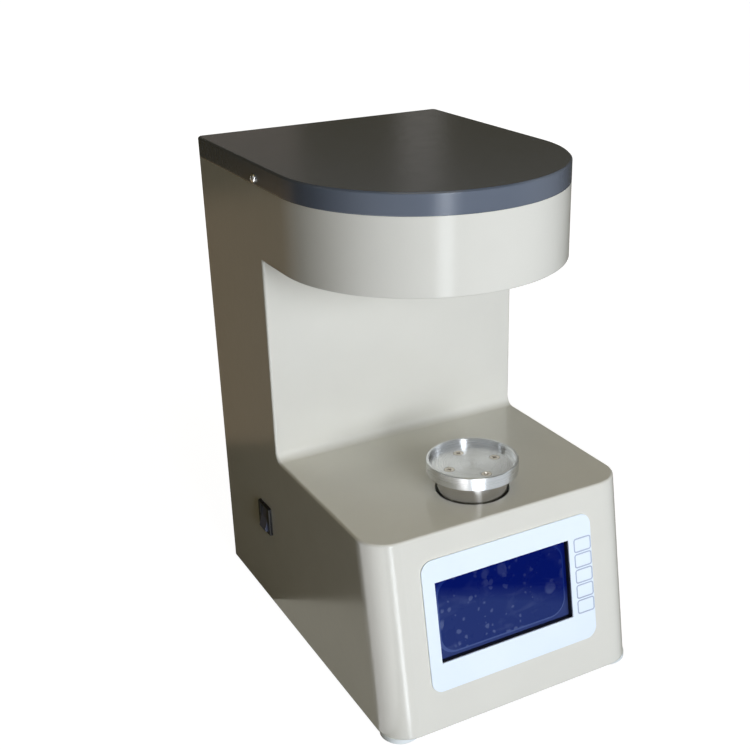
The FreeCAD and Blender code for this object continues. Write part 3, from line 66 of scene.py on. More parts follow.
class Material:
    """A node material round one Principled shader, whose sockets are set by name."""

    def __init__(self, name, **sockets):
        self.data = bpy.data.materials.new(name)
        self.data.use_nodes = True
        self.tree = self.data.node_tree
        self.shader = self.tree.nodes["Principled BSDF"]
        self.place = None
        for socket, value in sockets.items():
            self.shader.inputs[socket.replace("_", " ")].default_value = value

    def node(self, kind, **inputs):
        made = self.tree.nodes.new("ShaderNode" + kind)
        for name, value in inputs.items():
            self.feed(made, name.replace("_", " "), value)
        return made

    def feed(self, node, socket, value):
        """Sets a socket to a number or colour, or links another node's output to it."""
        if isinstance(value, bpy.types.NodeSocket):
            self.tree.links.new(value, node.inputs[socket])
        else:
            node.inputs[socket].default_value = value

    def where(self):
        """The point on the piece, in metres in the row frame."""
        if self.place is None:
            self.place = self.node("TexCoord").outputs["Object"]
        return self.place

    def stretched(self, x, y, z):
        """The point, scaled along each axis, for grain that runs one way."""
        mapping = self.node("Mapping", Vector=self.where())
        mapping.inputs["Scale"].default_value = (x, y, z)
        return mapping.outputs["Vector"]

    def noise(self, scale, detail=2.0, vector=None, distortion=0.0):
        made = self.node(
            "TexNoise", Scale=scale, Detail=detail, Distortion=distortion,
            Vector=vector or self.where(),
        )
        return made.outputs["Fac"]

    def spread(self, value, low, high, start=0.3, end=0.7):
        """A 0 to 1 value, stretched from start..end to low..high."""
        made = self.node("MapRange", Value=value)
        for name, number in (
            ("From Min", start), ("From Max", end), ("To Min", low), ("To Max", high),
        ):
            made.inputs[name].default_value = number
        return made.outputs["Result"]

    def blend(self, factor, first, second):
        """A colour between two, by a factor. The mix node's sockets share their names, so
        they are told apart by number."""
        mix = self.tree.nodes.new("ShaderNodeMix")
        mix.data_type = "RGBA"
        for socket, value in ((0, factor), (6, first), (7, second)):
            self.feed(mix, socket, value)
        return mix.outputs[2]

    def edges(self, radius):
        """A normal that rounds the piece's sharp edges."""
        made = self.node("Bevel", Radius=radius)
        made.samples = 6
        return made.outputs["Normal"]

    def bump(self, height, strength, depth, normal=None):
        made = self.node("Bump", Strength=strength, Distance=depth, Height=height)
        if normal is not None:
            self.feed(made, "Normal", normal)
        return made.outputs["Normal"]

    def shades(self, scale, detail, first, second):
        """A colour that wanders between two, with a noise."""
        return self.blend(self.spread(self.noise(scale, detail), 0.0, 1.0), first, second)

    def scaled(self, vector, factor):
        made = self.node("VectorMath", Vector=vector)
        made.operation = "SCALE"
        made.inputs["Scale"].default_value = factor
        return made.outputs[0]

    def blister(self, base, vector, scale, size, weight, empty, haze):
        """Round pale blisters of uneven size: a spot in some of the cells of a Voronoi grid."""
        cells = self.tree.nodes.new("ShaderNodeTexVoronoi")
        cells.voronoi_dimensions = "2D"
        self.feed(cells, "Vector", vector)
        cells.inputs["Scale"].default_value = scale
        pick = self.node("SeparateColor", Color=cells.outputs["Color"])
        radius = self.spread(pick.outputs[0], 0.0, size, empty, 1.0)
        edge = self.node("Math", Value=radius)
        edge.operation = "SUBTRACT"
        self.feed(edge, 1, cells.outputs["Distance"])
        spot = self.spread(edge.outputs[0], 0.0, weight, 0.0, BLISTER_EDGE)
        return self.blend(spot, base, haze)

    def set(self, **links):
        """Feeds the shader's own sockets, by name, and gives back the material."""
        for socket, value in links.items():
            self.feed(self.shader, socket.replace("_", " "), value)
        return self


def darker(colour, share):
    return tuple(value * share for value in colour[:3]) + (1.0,)


def powder_coat(name, colour, shade, roughness, peel, gloss):
    """Baked powder coat: nearly even colour under a glossy skin with a slight orange peel."""
    made = Material(name, Specular_IOR_Level=0.5, Coat_Weight=gloss, Coat_Roughness=roughness)
    base = made.shades(26.0, 2.0, colour, shade)
    waves = made.bump(made.noise(130.0, 1.0), peel, 0.0006, made.edges(0.0011))
    skin = made.bump(made.noise(480.0, 2.0), peel * 1.8, 0.0002, waves)
    rough = made.spread(made.noise(60.0, 2.0), roughness - 0.02, roughness + 0.02)
    return made.set(Base_Color=base, Roughness=rough, Normal=skin, Coat_Normal=skin)


def machined(name, colour, roughness, edge=0.0004):
    """Bare milled metal with a fine even grain."""
    made = Material(name, Metallic=1.0)
    grain = made.noise(700.0, 2.0)
    base = made.blend(made.spread(grain, 0.0, 1.0), colour, darker(colour, 0.9))
    rough = made.spread(made.noise(150.0, 3.0), roughness - 0.04, roughness + 0.04)
    return made.set(Base_Color=base, Roughness=rough, Normal=made.edges(edge))


def turned(name, colour, roughness, anisotropy, groove, edge=0.0004):
    """Metal turned about the vertical axis: fine concentric grooves of uneven depth, which
    spread the light across them."""
    made = Material(name, Metallic=1.0, Anisotropic=anisotropy, Anisotropic_Rotation=0.25)
    tangent = made.tree.nodes.new("ShaderNodeTangent")
    tangent.direction_type = "RADIAL"
    tangent.axis = "Z"
    made.feed(made.shader, "Tangent", tangent.outputs["Tangent"])
    axis = made.node("SeparateXYZ", Vector=made.where())
    flat = made.node("CombineXYZ", X=axis.outputs["X"], Y=axis.outputs["Y"])
    radius = made.node("VectorMath", Vector=flat.outputs["Vector"])
    radius.operation = "LENGTH"
    along = made.node("Math", Value=radius.outputs["Value"])
    made.feed(along, 1, axis.outputs["Z"])
    grooves = made.tree.nodes.new("ShaderNodeTexNoise")
    grooves.noise_dimensions = "1D"
    grooves.inputs["Scale"].default_value = 2600.0
    grooves.inputs["Detail"].default_value = 2.0
    made.feed(grooves, "W", along.outputs[0])
    depth = grooves.outputs["Fac"]
    base = made.blend(made.spread(depth, 0.0, 1.0), colour, darker(colour, 0.88))
    rough = made.spread(depth, roughness - 0.05, roughness + 0.05)
    normal = made.bump(depth, groove, 0.00005, made.edges(edge))
    return made.set(Base_Color=base, Roughness=rough, Normal=normal)


def rolled_sheet(name, colour, roughness):
    """Zinc-plated sheet or ground steel, with long faint rolling marks."""
    made = Material(name, Metallic=1.0)
    marks = made.noise(60.0, 4.0, made.stretched(1.0, 12.0, 12.0))
    base = made.shades(70.0, 1.0, colour, darker(colour, 0.8))
    rough = made.spread(marks, roughness - 0.06, roughness + 0.08)
    normal = made.bump(marks, 0.1, 0.0001, made.edges(0.0003))
    return made.set(Base_Color=base, Roughness=rough, Normal=normal)


def plastic(name, colour, roughness, grain=0.12, scale=1500.0, edge=0.0004):
    """Moulded plastic with a fine spark-eroded grain."""
    made = Material(name)
    base = made.shades(60.0, 3.0, colour, darker(colour, 0.82))
    normal = made.bump(made.noise(scale, 2.0), grain, 0.0001, made.edges(edge))
    rough = made.spread(made.noise(120.0, 3.0), roughness - 0.05, roughness + 0.05)
    return made.set(Base_Color=base, Roughness=rough, Normal=normal)


def circuit_board(name):
    """Solder-masked board, with the relief of its tracks."""
    made = Material(name, Roughness=0.35, Coat_Weight=0.3, Coat_Roughness=0.2)
    tracks = made.node("TexBrick", Scale=160.0, Vector=made.where())
    tracks.inputs["Mortar Size"].default_value = 0.03
    line = tracks.outputs["Fac"]
    base = made.blend(line, srgb(20, 84, 48), srgb(44, 122, 70))
    return made.set(Base_Color=base, Normal=made.bump(line, 0.3, 0.0001))


def laminate(name):
    """The bluish-white printed film of the panel: smooth, with a faint wave and fine matt grain."""
    made = Material(name, Specular_IOR_Level=0.35, Coat_Weight=0.15, Coat_Roughness=0.25)
    base = made.shades(14.0, 2.0, srgb(241, 250, 255), srgb(236, 246, 254))
    wave = made.bump(made.noise(22.0, 1.0), 0.12, 0.001, made.edges(0.0003))
    rough = made.spread(made.noise(900.0, 2.0), 0.34, 0.42)
    normal = made.bump(made.noise(1200.0), 0.05, 0.0001, wave)
    return made.set(Base_Color=base, Roughness=rough, Normal=normal)


# The display turns darker over a slanting line, in metres of height at the middle, and blisters
# lie in its film: grid scale, largest radius, weight, and the share of the cells left empty

DARK_FROM, DARK_TO, DARK_SLANT = 0.079, 0.092, 0.29
BLISTERS = ((75.0, 0.48, 0.42, 0.50), (170.0, 0.44, 0.36, 0.60))
BLISTER_EDGE = 0.16


def display(name, top, bottom, haze=None):
    """Unlit blue display: darker towards its top, and with a haze colour given, with blisters
    and smears in its film."""
    made = Material(name, Specular_IOR_Level=0.04)
    axis = made.node("SeparateXYZ", Vector=made.where())
    slant = made.node("Math", Value=axis.outputs["X"])
    slant.operation = "MULTIPLY_ADD"
    slant.inputs[1].default_value = DARK_SLANT
    made.feed(slant, 2, axis.outputs["Z"])
    along = made.node("Math", Value=slant.outputs[0])
    made.feed(along, 1, made.spread(made.noise(9.0, 2.0), -0.004, 0.004))
    fall = made.spread(along.outputs[0], 1.0, 0.0, DARK_FROM, DARK_TO)
    base = made.blend(fall, top, bottom)
    if haze is not None:
        face = made.node("CombineXYZ", X=axis.outputs["X"], Y=axis.outputs["Z"]).outputs["Vector"]
        shift = made.node("TexNoise", Scale=160.0, Vector=made.where())
        warped = made.node("VectorMath", Vector=face)
        made.feed(warped, 1, made.scaled(shift.outputs["Color"], 0.004))
        spots = base
        for scale, size, weight, empty in BLISTERS:
            spots = made.blister(spots, warped.outputs[0], scale, size, weight, empty, haze)
        smear = made.noise(30.0, 3.0, made.stretched(1.0, 1.0, 2.0), 1.0)
        spots = made.blend(made.spread(smear, 0.0, 0.25, 0.52, 0.8), spots, haze)
        base = made.blend(made.spread(fall, 0.25, 1.0, 0.0, 1.0), base, spots)
    rough = made.spread(made.noise(70.0, 3.0), 0.22, 0.38)
    normal = made.bump(made.noise(140.0, 2.0), 0.05, 0.0003)
    return made.set(Base_Color=base, Roughness=rough, Normal=normal)


BEIGE = srgb(226, 223, 210)
BEIGE_SHADE = srgb(224, 221, 208)
SLATE = srgb(88, 96, 109)
SLATE_SHADE = srgb(85, 93, 106)

looks = {
    "case_paint": powder_coat("case_powder_coat", BEIGE, BEIGE_SHADE, 0.17, 0.12, 0.0),
    "cover_paint": powder_coat("cover_powder_coat", SLATE, SLATE_SHADE, 0.22, 0.10, 0.6),
    "sheet_steel": rolled_sheet("zinc_plated_sheet", (0.60, 0.61, 0.62, 1.0), 0.38),
    "steel": rolled_sheet("ground_steel", (0.62, 0.62, 0.64, 1.0), 0.22),
    "aluminium": machined("milled_aluminium", (0.74, 0.75, 0.76, 1.0), 0.32),
    "chrome": machined("nickel_plate", (0.72, 0.71, 0.69, 1.0), 0.18, edge=0.0002),
    "brass": machined("turned_brass", (0.62, 0.47, 0.22, 1.0), 0.26),
    "white_plastic": plastic("pale_plastic", srgb(248, 253, 249), 0.45),
    "black_plastic": plastic("black_moulding", srgb(30, 30, 32), 0.48),
    "black_gloss": plastic("switch_moulding", srgb(18, 19, 23), 0.30, grain=0.04),
    "panel_film": laminate("panel_laminate"),
    "glass": display("display_glass", srgb(10, 24, 96), srgb(52, 64, 112)),
    "circuit_board": circuit_board("solder_mask"),
    "rubber": plastic("black_rubber", srgb(26, 26, 26), 0.7, grain=0.3, scale=700.0),
    "motor_black": plastic("black_lacquer", srgb(12, 12, 14), 0.5),
    "magnet_steel": rolled_sheet("plated_steel", (0.50, 0.50, 0.52, 1.0), 0.3),
}
# Nodes that look unlike the rest of their slot
own_looks = {
    "sample_tray": turned("turned_tray", (0.81, 0.82, 0.83, 1.0), 0.28, 0.8, 0.2),
    "stage_post": turned("turned_post", (0.58, 0.56, 0.54, 1.0), 0.20, 0.4, 0.08),
    # The rocker's bluish grey colour is a painted reflection of the window on its tilted face; the
    # switch itself is dark
    "power_rocker": plastic("rocker_painted_reflection", srgb(80, 86, 110), 0.35, grain=0.04),
}
screw_steel = machined("tray_screw_steel", (0.66, 0.61, 0.54, 1.0), 0.16, edge=0.0002)


def paint(obj, material):
    obj.data.materials.clear()
    obj.data.materials.append(material.data)


for part in frame["record"]["subparts"]:
    paint(nodes[part["node"]], looks[part["material_slot"]])
for name, look in own_looks.items():
    paint(nodes[name], look)


# Meshes


def piece(name, mesh, material, body="housing"):
    """A new piece on a body, named and painted."""
    obj = bpy.data.objects.new(name, mesh)
    bpy.context.scene.collection.objects.link(obj)
    paint(obj, material)
    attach(obj, body)
    return obj


def mesh_of(name, points, faces):
    """A flat-shaded mesh."""
    mesh = bpy.data.meshes.new(name)
    mesh.from_pydata([Vector(p) for p in points], [], faces)
    mesh.validate()
    for polygon in mesh.polygons:
        polygon.use_smooth = False
    return mesh


def joined(name, meshes):
    """One mesh of several."""
    whole = bmesh.new()
    for mesh in meshes:
        whole.from_mesh(mesh)
    made = bpy.data.meshes.new(name)
    whole.to_mesh(made)
    whole.free()
    return made


def closed(count):
    """The faces of a solid between two rings of as many points each, the lower one first."""
    faces = [list(range(count))[::-1], list(range(count, count * 2))]
    for step in range(count):
        n = (step + 1) % count
        faces.append([step, n, count + n, count + step])
    return faces


def lathe(profile, steps):
    """Points and faces of a solid of revolution about Z, from (radius, height) pairs that
    start and end on the axis."""
    points, faces, rings = [], [], []
    for radius, height in profile:
        if radius == 0:
            rings.append([len(points)] * steps)
            points.append((0, 0, height))
        else:
            rings.append(list(range(len(points), len(points) + steps)))
            for step in range(steps):
                angle = 2 * math.pi * step / steps
                points.append((radius * math.cos(angle), radius * math.sin(angle), height))
    for lower, upper in zip(rings, rings[1:]):
        for step in range(steps):
            following = (step + 1) % steps
            corners = [lower[step], lower[following], upper[following], upper[step]]
            faces.append(list(dict.fromkeys(corners)))
    return points, faces


def prism(outline, low, high):
    """Points and faces of an outline in XY, drawn out from z = low to z = high."""
    points = [(x, y, z) for z in (low, high) for x, y in outline]
    return points, closed(len(outline))


# How large a cross is at its tip and at its top, as shares of its size

CROSS_TIP, CROSS_TOP = 0.5, 1.15


def cross_cutter(reach, width, depth):
    """A tapered cross, like a screwdriver's tip, from above z = 0 down to -depth."""
    outline = []
    for quarter in range(4):
        c, s = math.cos(math.pi / 2 * quarter), math.sin(math.pi / 2 * quarter)
        for x, y in ((width / 2, -width / 2), (reach, -width / 2), (reach, width / 2)):
            outline.append((x * c - y * s, x * s + y * c))
    points = [(x * CROSS_TIP, y * CROSS_TIP, -depth) for x, y in outline]
    points += [(x * CROSS_TOP, y * CROSS_TOP, depth / 2) for x, y in outline]
    return mesh_of("cutter", points, closed(len(outline)))


def cut_out(mesh, cutter, name):
    """The mesh with the cutter taken away."""
    objects = [bpy.data.objects.new(name, mesh), bpy.data.objects.new("cutter", cutter)]
    for obj in objects:
        bpy.context.scene.collection.objects.link(obj)
    modifier = objects[0].modifiers.new("cut", "BOOLEAN")
    modifier.operation = "DIFFERENCE"
    modifier.solver = "EXACT"
    modifier.object = objects[1]
    graph = bpy.context.evaluated_depsgraph_get()
    made = bpy.data.meshes.new_from_object(objects[0].evaluated_get(graph))
    for obj in objects:
        bpy.data.objects.remove(obj)
    return made


# A domed head's outline, as shares of its radius and of its rise, and a sunk head's rounded
# edge, out from its radius and up from its top in millimetres. A cross has its reach and its
# width as shares of the head's radius, and its depth as a share of the rise, or in millimetres
# where the head is sunk. The thread is given as shares of the shank's radius.

DOME = (
    (0.97, 0.0), (1.0, 0.14), (0.97, 0.42), (0.86, 0.7), (0.64, 0.9), (0.34, 1.0), (0.0, 1.0),
)
SUNK_EDGE = ((0.0, -0.35), (0.0, -0.16), (-0.05, -0.05), (-0.2, 0.0), (-0.9, -0.03))
DOME_CROSS, DOME_CROSS_DEPTH = (0.42, 0.22), 0.62
SUNK_CROSS, SUNK_CROSS_DEPTH = (0.56, 0.30), 2.0
THREAD_PITCH, THREAD_ROOT, SHANK_TIP = 0.33, 0.82, 0.7
DOME_STEPS, SUNK_STEPS = 32, 40

# How far each screw of a set is turned in its hole, in radians

FIRST_SPIN, SPIN_STEP = 0.5, 1.3


def screw_mesh(shank, head, rise, length):
    """A cross-head screw along -Z with a domed head on z = 0 and a threaded shank."""
    profile = [(0, -length), (shank * SHANK_TIP, -length)]
    pitch = shank * THREAD_PITCH
    level = -length + pitch
    while level < -pitch:
        profile += [(shank, level), (shank * THREAD_ROOT, level + pitch / 2)]
        level += pitch
    profile += [(shank, 0)] + [(head * across, rise * up) for across, up in DOME]
    reach, width = (head * share for share in DOME_CROSS)
    cutter = cross_cutter(reach, width, rise * DOME_CROSS_DEPTH)
    cutter.transform(Matrix.Translation((0, 0, rise)))
    return cut_out(mesh_of("screw", *lathe(profile, DOME_STEPS)), cutter, "screw")


def sunk_screw_mesh(shank, head, length):
    """A flat countersunk screw along -Z, its edge rounded and its top flush with z = 0."""
    cone = head - shank
    profile = [(0, -length), (shank, -length), (shank, -cone)]
    profile += [(head + out, up) for out, up in SUNK_EDGE] + [(0, SUNK_EDGE[-1][1])]
    reach, width = (head * share for share in SUNK_CROSS)
    cutter = cross_cutter(reach, width, SUNK_CROSS_DEPTH)
    return cut_out(mesh_of("screw", *lathe(profile, SUNK_STEPS)), cutter, "screw")


def copies(name, mesh, spots, node, body="housing", metal=looks["chrome"]):
    """One piece of several copies of a mesh, drawn in millimetres, each at a place, facing a
    direction and turned a little further, that stands for a node of the frame."""
    made = []
    for number, (place, facing) in enumerate(spots):
        one = mesh.copy()
        turn = Vector((0, 0, 1)).rotation_difference(Vector(facing)).to_matrix().to_4x4()
        spin = Matrix.Rotation(FIRST_SPIN + SPIN_STEP * number, 4, "Z")
        one.transform(Matrix.Translation(Vector(place)) @ turn @ spin)
        one.transform(Matrix.Scale(MM, 4))
        made.append(one)
    obj = piece(name, joined(name, made), metal, body)
    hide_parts(node)


def face(node, end, axis):
    """Where a node of the frame starts (end 0) or stops (end 1) along X, Y or Z, in
    millimetres."""
    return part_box(node)[end]["XYZ".index(axis)] / MM


# The sloped front: its upper edge, its height, and how far it runs back over it, in millimetres

NOSE_EDGE = Vector((0, -44, 152))
NOSE_HEIGHT, NOSE_RUN = 147, 25
NOSE_TILT = math.atan(NOSE_RUN / NOSE_HEIGHT)


def on_nose(mesh):
    """Moves a mesh drawn flat, in millimetres, onto the sloped front: its x to the right,
    its y up the slope, and its z out of the front."""
    across = Vector((1, 0, 0))
    up = Vector((0, math.sin(NOSE_TILT), math.cos(NOSE_TILT)))
    out = across.cross(up)
    turn = Matrix((across, up, out)).transposed().to_4x4()
    mesh.transform(Matrix.Scale(MM, 4) @ Matrix.Translation(NOSE_EDGE) @ turn)
    return mesh


def rounded_outline(box, radius, steps):
    """An anticlockwise rectangle with rounded corners, from x0, y0, x1, y1."""
    x0, y0, x1, y1 = box
    points = []
    for cx, cy, start in (
        (x1 - radius, y0 + radius, -90), (x1 - radius, y1 - radius, 0),
        (x0 + radius, y1 - radius, 90), (x0 + radius, y0 + radius, 180),
    ):
        for step in range(steps + 1):
            angle = math.radians(start + 90 * step / steps)
            points.append((cx + radius * math.cos(angle), cy + radius * math.sin(angle)))
    return points


def frame_of(outer, inner, low, high):
    """Points and faces of the ring between two outlines with as many points each."""
    count = len(outer)
    points = [(x, y, z) for z in (low, high) for line in (outer, inner) for x, y in line]
    faces = []
    for step in range(count):
        n = (step + 1) % count
        a, b, c, d = step, count + step, 2 * count + step, 3 * count + step
        an, bn, cn, dn = n, count + n, 2 * count + n, 3 * count + n
        faces += [[a, b, bn, an], [c, cn, dn, d], [a, an, cn, c], [b, d, dn, bn]]
    return points, faces


# The display's protective film, with its rim, behind the panel's window

GLASS_DEPTH = 4.8
WINDOW = (-62.3, -98.2, 51.6, -36.2)
FILM_THICKNESS, FILM_MARGIN, FILM_RADIUS = 0.12, (4.2, 3.4, -3.2, -2.6), 13.0
RIM_THICKNESS, RIM_MARGIN, RIM_RADIUS = 0.2, (-3.0, -1.2, 1.0, 1.6), 14.4
FILM_STEPS = 14


def moved(box, margin):
    """A box of x0, y0, x1, y1, each moved by a margin."""
    return [edge + shift for edge, shift in zip(box, margin)]


film_look = display("display_film", srgb(0, 16, 90), srgb(37, 51, 105), srgb(112, 124, 160))
rim_look = display("film_rim", srgb(24, 42, 110), srgb(72, 87, 136))
film_box = moved(WINDOW, FILM_MARGIN)
outline = rounded_outline(film_box, FILM_RADIUS, FILM_STEPS)
wider = rounded_outline(moved(film_box, RIM_MARGIN), RIM_RADIUS, FILM_STEPS)
film = mesh_of("display_film", *prism(outline, -GLASS_DEPTH, FILM_THICKNESS - GLASS_DEPTH))
rim = mesh_of("film_rim", *frame_of(wider, outline, -GLASS_DEPTH, RIM_THICKNESS - GLASS_DEPTH))
piece("display_film", on_nose(film), film_look)
piece("film_rim", on_nose(rim), rim_look)

# The printed borders of the keys

KEY_LEFT, KEY_RIGHT, KEY_TOP = face("key_1", 0, "X"), face("key_1", 1, "X"), -37.7
KEY_HEIGHT, KEY_PITCH, KEY_RADIUS = 9.4, 12.4, 1.2
KEYS, KEY_STEPS = 5, 6
BORDER = 1.0
PANEL_FACE, INK_FACE = 1.2, 1.23
ink = plastic("border_ink", srgb(188, 198, 218), 0.45, grain=0.04)
borders = []
for number in range(KEYS):
    top = KEY_TOP - KEY_PITCH * number
    key_box = (KEY_LEFT, top - KEY_HEIGHT, KEY_RIGHT, top)
    border_box = moved(key_box, (-BORDER, -BORDER, BORDER, BORDER))
    inner = rounded_outline(key_box, KEY_RADIUS, KEY_STEPS)
    outer = rounded_outline(border_box, KEY_RADIUS + BORDER, KEY_STEPS)
    borders.append(mesh_of("border", *frame_of(outer, inner, PANEL_FACE, INK_FACE)))
piece("key_borders", on_nose(joined("key_borders", borders)), ink)

# Screws with cross recesses, on the faces that carry them: the sides, the rear panel, the
# inlet's flange, the floor, the recesses under the feet, and the tray's floor

SIDE = face("top_cover", 1, "X")
REAR_FACE = face("rear_panel", 1, "Y")
INLET_FACE = face("power_inlet", 1, "Y")
FLOOR_FACE = face("base_plate", 0, "Z")
FOOT_RECESS, TRAY_FLOOR = 2.6, 171.55
TRAY_CIRCLE = 19.5
LEFT, RIGHT, BACK, UP, UNDER = (-1, 0, 0), (1, 0, 0), (0, 1, 0), (0, 0, 1), (0, 0, -1)

panel_spots = [((x, REAR_FACE, z), BACK) for x in (-94, 94) for z in (37, 336.5)]
panel_spots += [((x, y, FLOOR_FACE), UNDER) for x in (-99, 99) for y in (-24, 178)]
panel_spots += [((x, INLET_FACE, 62), BACK) for x in (-76, -36)]
cover_spots = [((-SIDE, 120.5, 373), LEFT), ((SIDE, 120.5, 373), RIGHT)]
tray_spots = [
    ((TRAY_CIRCLE * x, TRAY_CIRCLE * y, TRAY_FLOOR), UP)
    for x, y in ((1, 0), (0, 1), (-1, 0), (0, -1))
]
foot_spots = [
    ((side * x, y, FOOT_RECESS), UNDER) for x, y in ((92, -51), (80, 213)) for side in (-1, 1)
]
small = screw_mesh(shank=1.5, head=2.8, rise=2.0, length=8.0)
medium = screw_mesh(shank=2.0, head=3.5, rise=2.0, length=8.0)
large = screw_mesh(shank=2.0, head=4.0, rise=2.4, length=9.5)
sunk = sunk_screw_mesh(shank=2.0, head=3.85, length=7.0)
copies("panel_screw_heads", small, panel_spots, "panel_screws")
copies("cover_screw_heads", medium, cover_spots, "cover_screws")
copies("tray_screw_heads", sunk, tray_spots, "tray_screws", "stage", screw_steel)
copies("foot_screw_heads", large, foot_spots, "foot_screws")


# Stage, lights and camera


def sheet(name, corners, look):
    """A four-cornered sheet that belongs to the stage."""
    obj = bpy.data.objects.new(name, mesh_of(name, corners, [[0, 1, 2, 3]]))
    bpy.context.scene.collection.objects.link(obj)
    obj.data.materials.append(look)
    return obj


class Studio:
    """A node tree that looks one way to the camera and glass, and another in reflections."""

    def __init__(self, tree):
        self.tree = tree

    def math(self, operation, *inputs):
        made = self.tree.nodes.new("ShaderNodeMath")
        made.operation = operation
        for socket, value in zip(made.inputs, inputs):
            if isinstance(value, bpy.types.NodeSocket):
                self.tree.links.new(value, socket)
            else:
                socket.default_value = value
        return made.outputs[0]

    def fade(self, value, start, end, low, high):
        made = self.tree.nodes.new("ShaderNodeMapRange")
        made.interpolation_type = "SMOOTHSTEP"
        self.tree.links.new(value, made.inputs["Value"])
        for name, number in (
            ("From Min", start), ("From Max", end), ("To Min", low), ("To Max", high),
        ):
            made.inputs[name].default_value = number
        return made.outputs["Result"]

    def band(self, value, centre, half, soft):
        """1 where a value in degrees is within half of the centre, with soft edges."""
        away = self.math("ABSOLUTE", self.math("SUBTRACT", value, centre))
        return self.fade(away, half - soft, half + soft, 1.0, 0.0)

    def straight(self):
        """1 for rays straight from the camera or through glass."""
        rays = self.tree.nodes.new("ShaderNodeLightPath").outputs
        return self.math("MAXIMUM", rays["Is Camera Ray"], rays["Is Transmission Ray"])

    def light(self, colour, strength):
        """A background light of a colour, at a strength that nodes may work out."""
        made = self.tree.nodes.new("ShaderNodeBackground")
        made.inputs["Color"].default_value = colour + (1.0,)
        self.tree.links.new(strength, made.inputs["Strength"])
        return made.outputs[0]

    def add(self, first, second):
        made = self.tree.nodes.new("ShaderNodeAddShader")
        self.tree.links.new(first, made.inputs[0])
        self.tree.links.new(second, made.inputs[1])
        return made.outputs[0]


# The floor is white to the camera but for the object's shadow, and throws little light back
# up. Gloss looks through it at the world, which shows a lit table below the horizon in front
# of the object and the window's glint on it, a pale wall above it, and a dark room behind.

FLOOR_HALF = 15.0
FLOOR_GLOW = 0.965
GLOW_NEAR, GLOW_FAR = 0.4, 1.2
FLOOR_COLOUR = (0.16, 0.15, 0.14)
WHITE = (1.0, 1.0, 1.0)
AMBIENT = (0.040, 0.031, 0.008)
WINDOW_TINT = (0.94, 1.0, 1.07)
DARK_ROOM = 0.020
# How strongly the table and the wall glow, over which azimuths either way they fade out, where
# the table ends, and the wall's middle, half height and softness, in degrees
LIT_TABLE, TABLE_FADE, TABLE_END = 0.66, (55.0, 118.0), (-1.0, 1.0)
PALE_WALL, WALL_FADE, WALL_BAND = 0.5, (80.0, 125.0), (25.0, 22.0, 4.0)
# The window, its glint on the table far off and close by, then the windows at either side:
# azimuth, half width, elevation, half height, strength
WINDOWS = (
    (-9.0, 4.5, 13.0, 14.0, 12.0), (-10.5, 5.5, -16.5, 6.5, 3.6), (-8.0, 7.0, -30.0, 7.5, 2.0),
    (74.0, 3.0, 28.0, 10.0, 2.4), (-112.0, 2.5, 28.0, 10.0, 2.0),
)
SOFT_ACROSS, SOFT_UP = 2.0, 1.0

floor_look = bpy.data.materials.new("pale_floor")
floor_look.use_nodes = True
tree = floor_look.node_tree
studio = Studio(tree)
matt = tree.nodes["Principled BSDF"]
matt.inputs["Base Color"].default_value = FLOOR_COLOUR + (1.0,)
matt.inputs["Roughness"].default_value = 0.9
place = tree.nodes.new("ShaderNodeTexCoord").outputs["Object"]
reach = tree.nodes.new("ShaderNodeVectorMath")
reach.operation = "LENGTH"
tree.links.new(place, reach.inputs[0])
glow = tree.nodes.new("ShaderNodeEmission")
white = studio.fade(reach.outputs["Value"], GLOW_NEAR, GLOW_FAR, FLOOR_GLOW, 1.0)
tree.links.new(studio.math("MULTIPLY", studio.straight(), white), glow.inputs["Strength"])
tree.links.new(
    studio.add(matt.outputs[0], glow.outputs[0]), tree.nodes["Material Output"].inputs["Surface"]
)
square = ((-1, -1), (1, -1), (1, 1), (-1, 1))
floor = sheet("floor", [(FLOOR_HALF * x, FLOOR_HALF * y, 0) for x, y in square], floor_look)
floor.visible_glossy = False

world = bpy.data.worlds.new("studio")
bpy.context.scene.world = world
world.use_nodes = True
tree = world.node_tree
studio = Studio(tree)
axis = tree.nodes.new("ShaderNodeSeparateXYZ")
tree.links.new(tree.nodes.new("ShaderNodeTexCoord").outputs["Generated"], axis.inputs[0])
x, y, z = (axis.outputs[name] for name in "XYZ")
front = studio.math("MULTIPLY", y, -1.0)
azimuth = studio.math("DEGREES", studio.math("ARCTAN2", x, front))
elevation = studio.math("DEGREES", studio.math("ARCSINE", z))
aside = studio.math("ABSOLUTE", azimuth)
table = studio.math(
    "MULTIPLY",
    studio.fade(aside, *TABLE_FADE, LIT_TABLE, 0.0),
    studio.fade(elevation, *TABLE_END, 1.0, 0.0),
)
wall = studio.math(
    "MULTIPLY",
    studio.fade(aside, *WALL_FADE, PALE_WALL, 0.0),
    studio.band(elevation, *WALL_BAND),
)
mirrored = studio.math("ADD", studio.math("ADD", table, wall), DARK_ROOM)
for heading, width, rise, half, strength in WINDOWS:
    glint = studio.math(
        "MULTIPLY",
        studio.band(azimuth, heading, width, SOFT_ACROSS),
        studio.band(elevation, rise, half, SOFT_UP),
    )
    mirrored = studio.math("ADD", mirrored, studio.math("MULTIPLY", glint, strength))
gloss = tree.nodes.new("ShaderNodeLightPath").outputs["Is Glossy Ray"]
straight = studio.straight()
backdrop = studio.light(WHITE, straight)
room = studio.light(WINDOW_TINT, studio.math("MULTIPLY", gloss, mirrored))
ambient = studio.light(AMBIENT, studio.math("SUBTRACT", 1.0, straight))
tree.links.new(
    studio.add(studio.add(backdrop, room), ambient), tree.nodes["World Output"].inputs["Surface"]
)

# Where the lamps point, and the top of the object, which the upright cards stand away from

TARGET = Vector((0.0, 0.05, 0.20))
COVER_TOP = Vector((0, 0.08, 0.384))
CARD_DISTANCE = 2.0


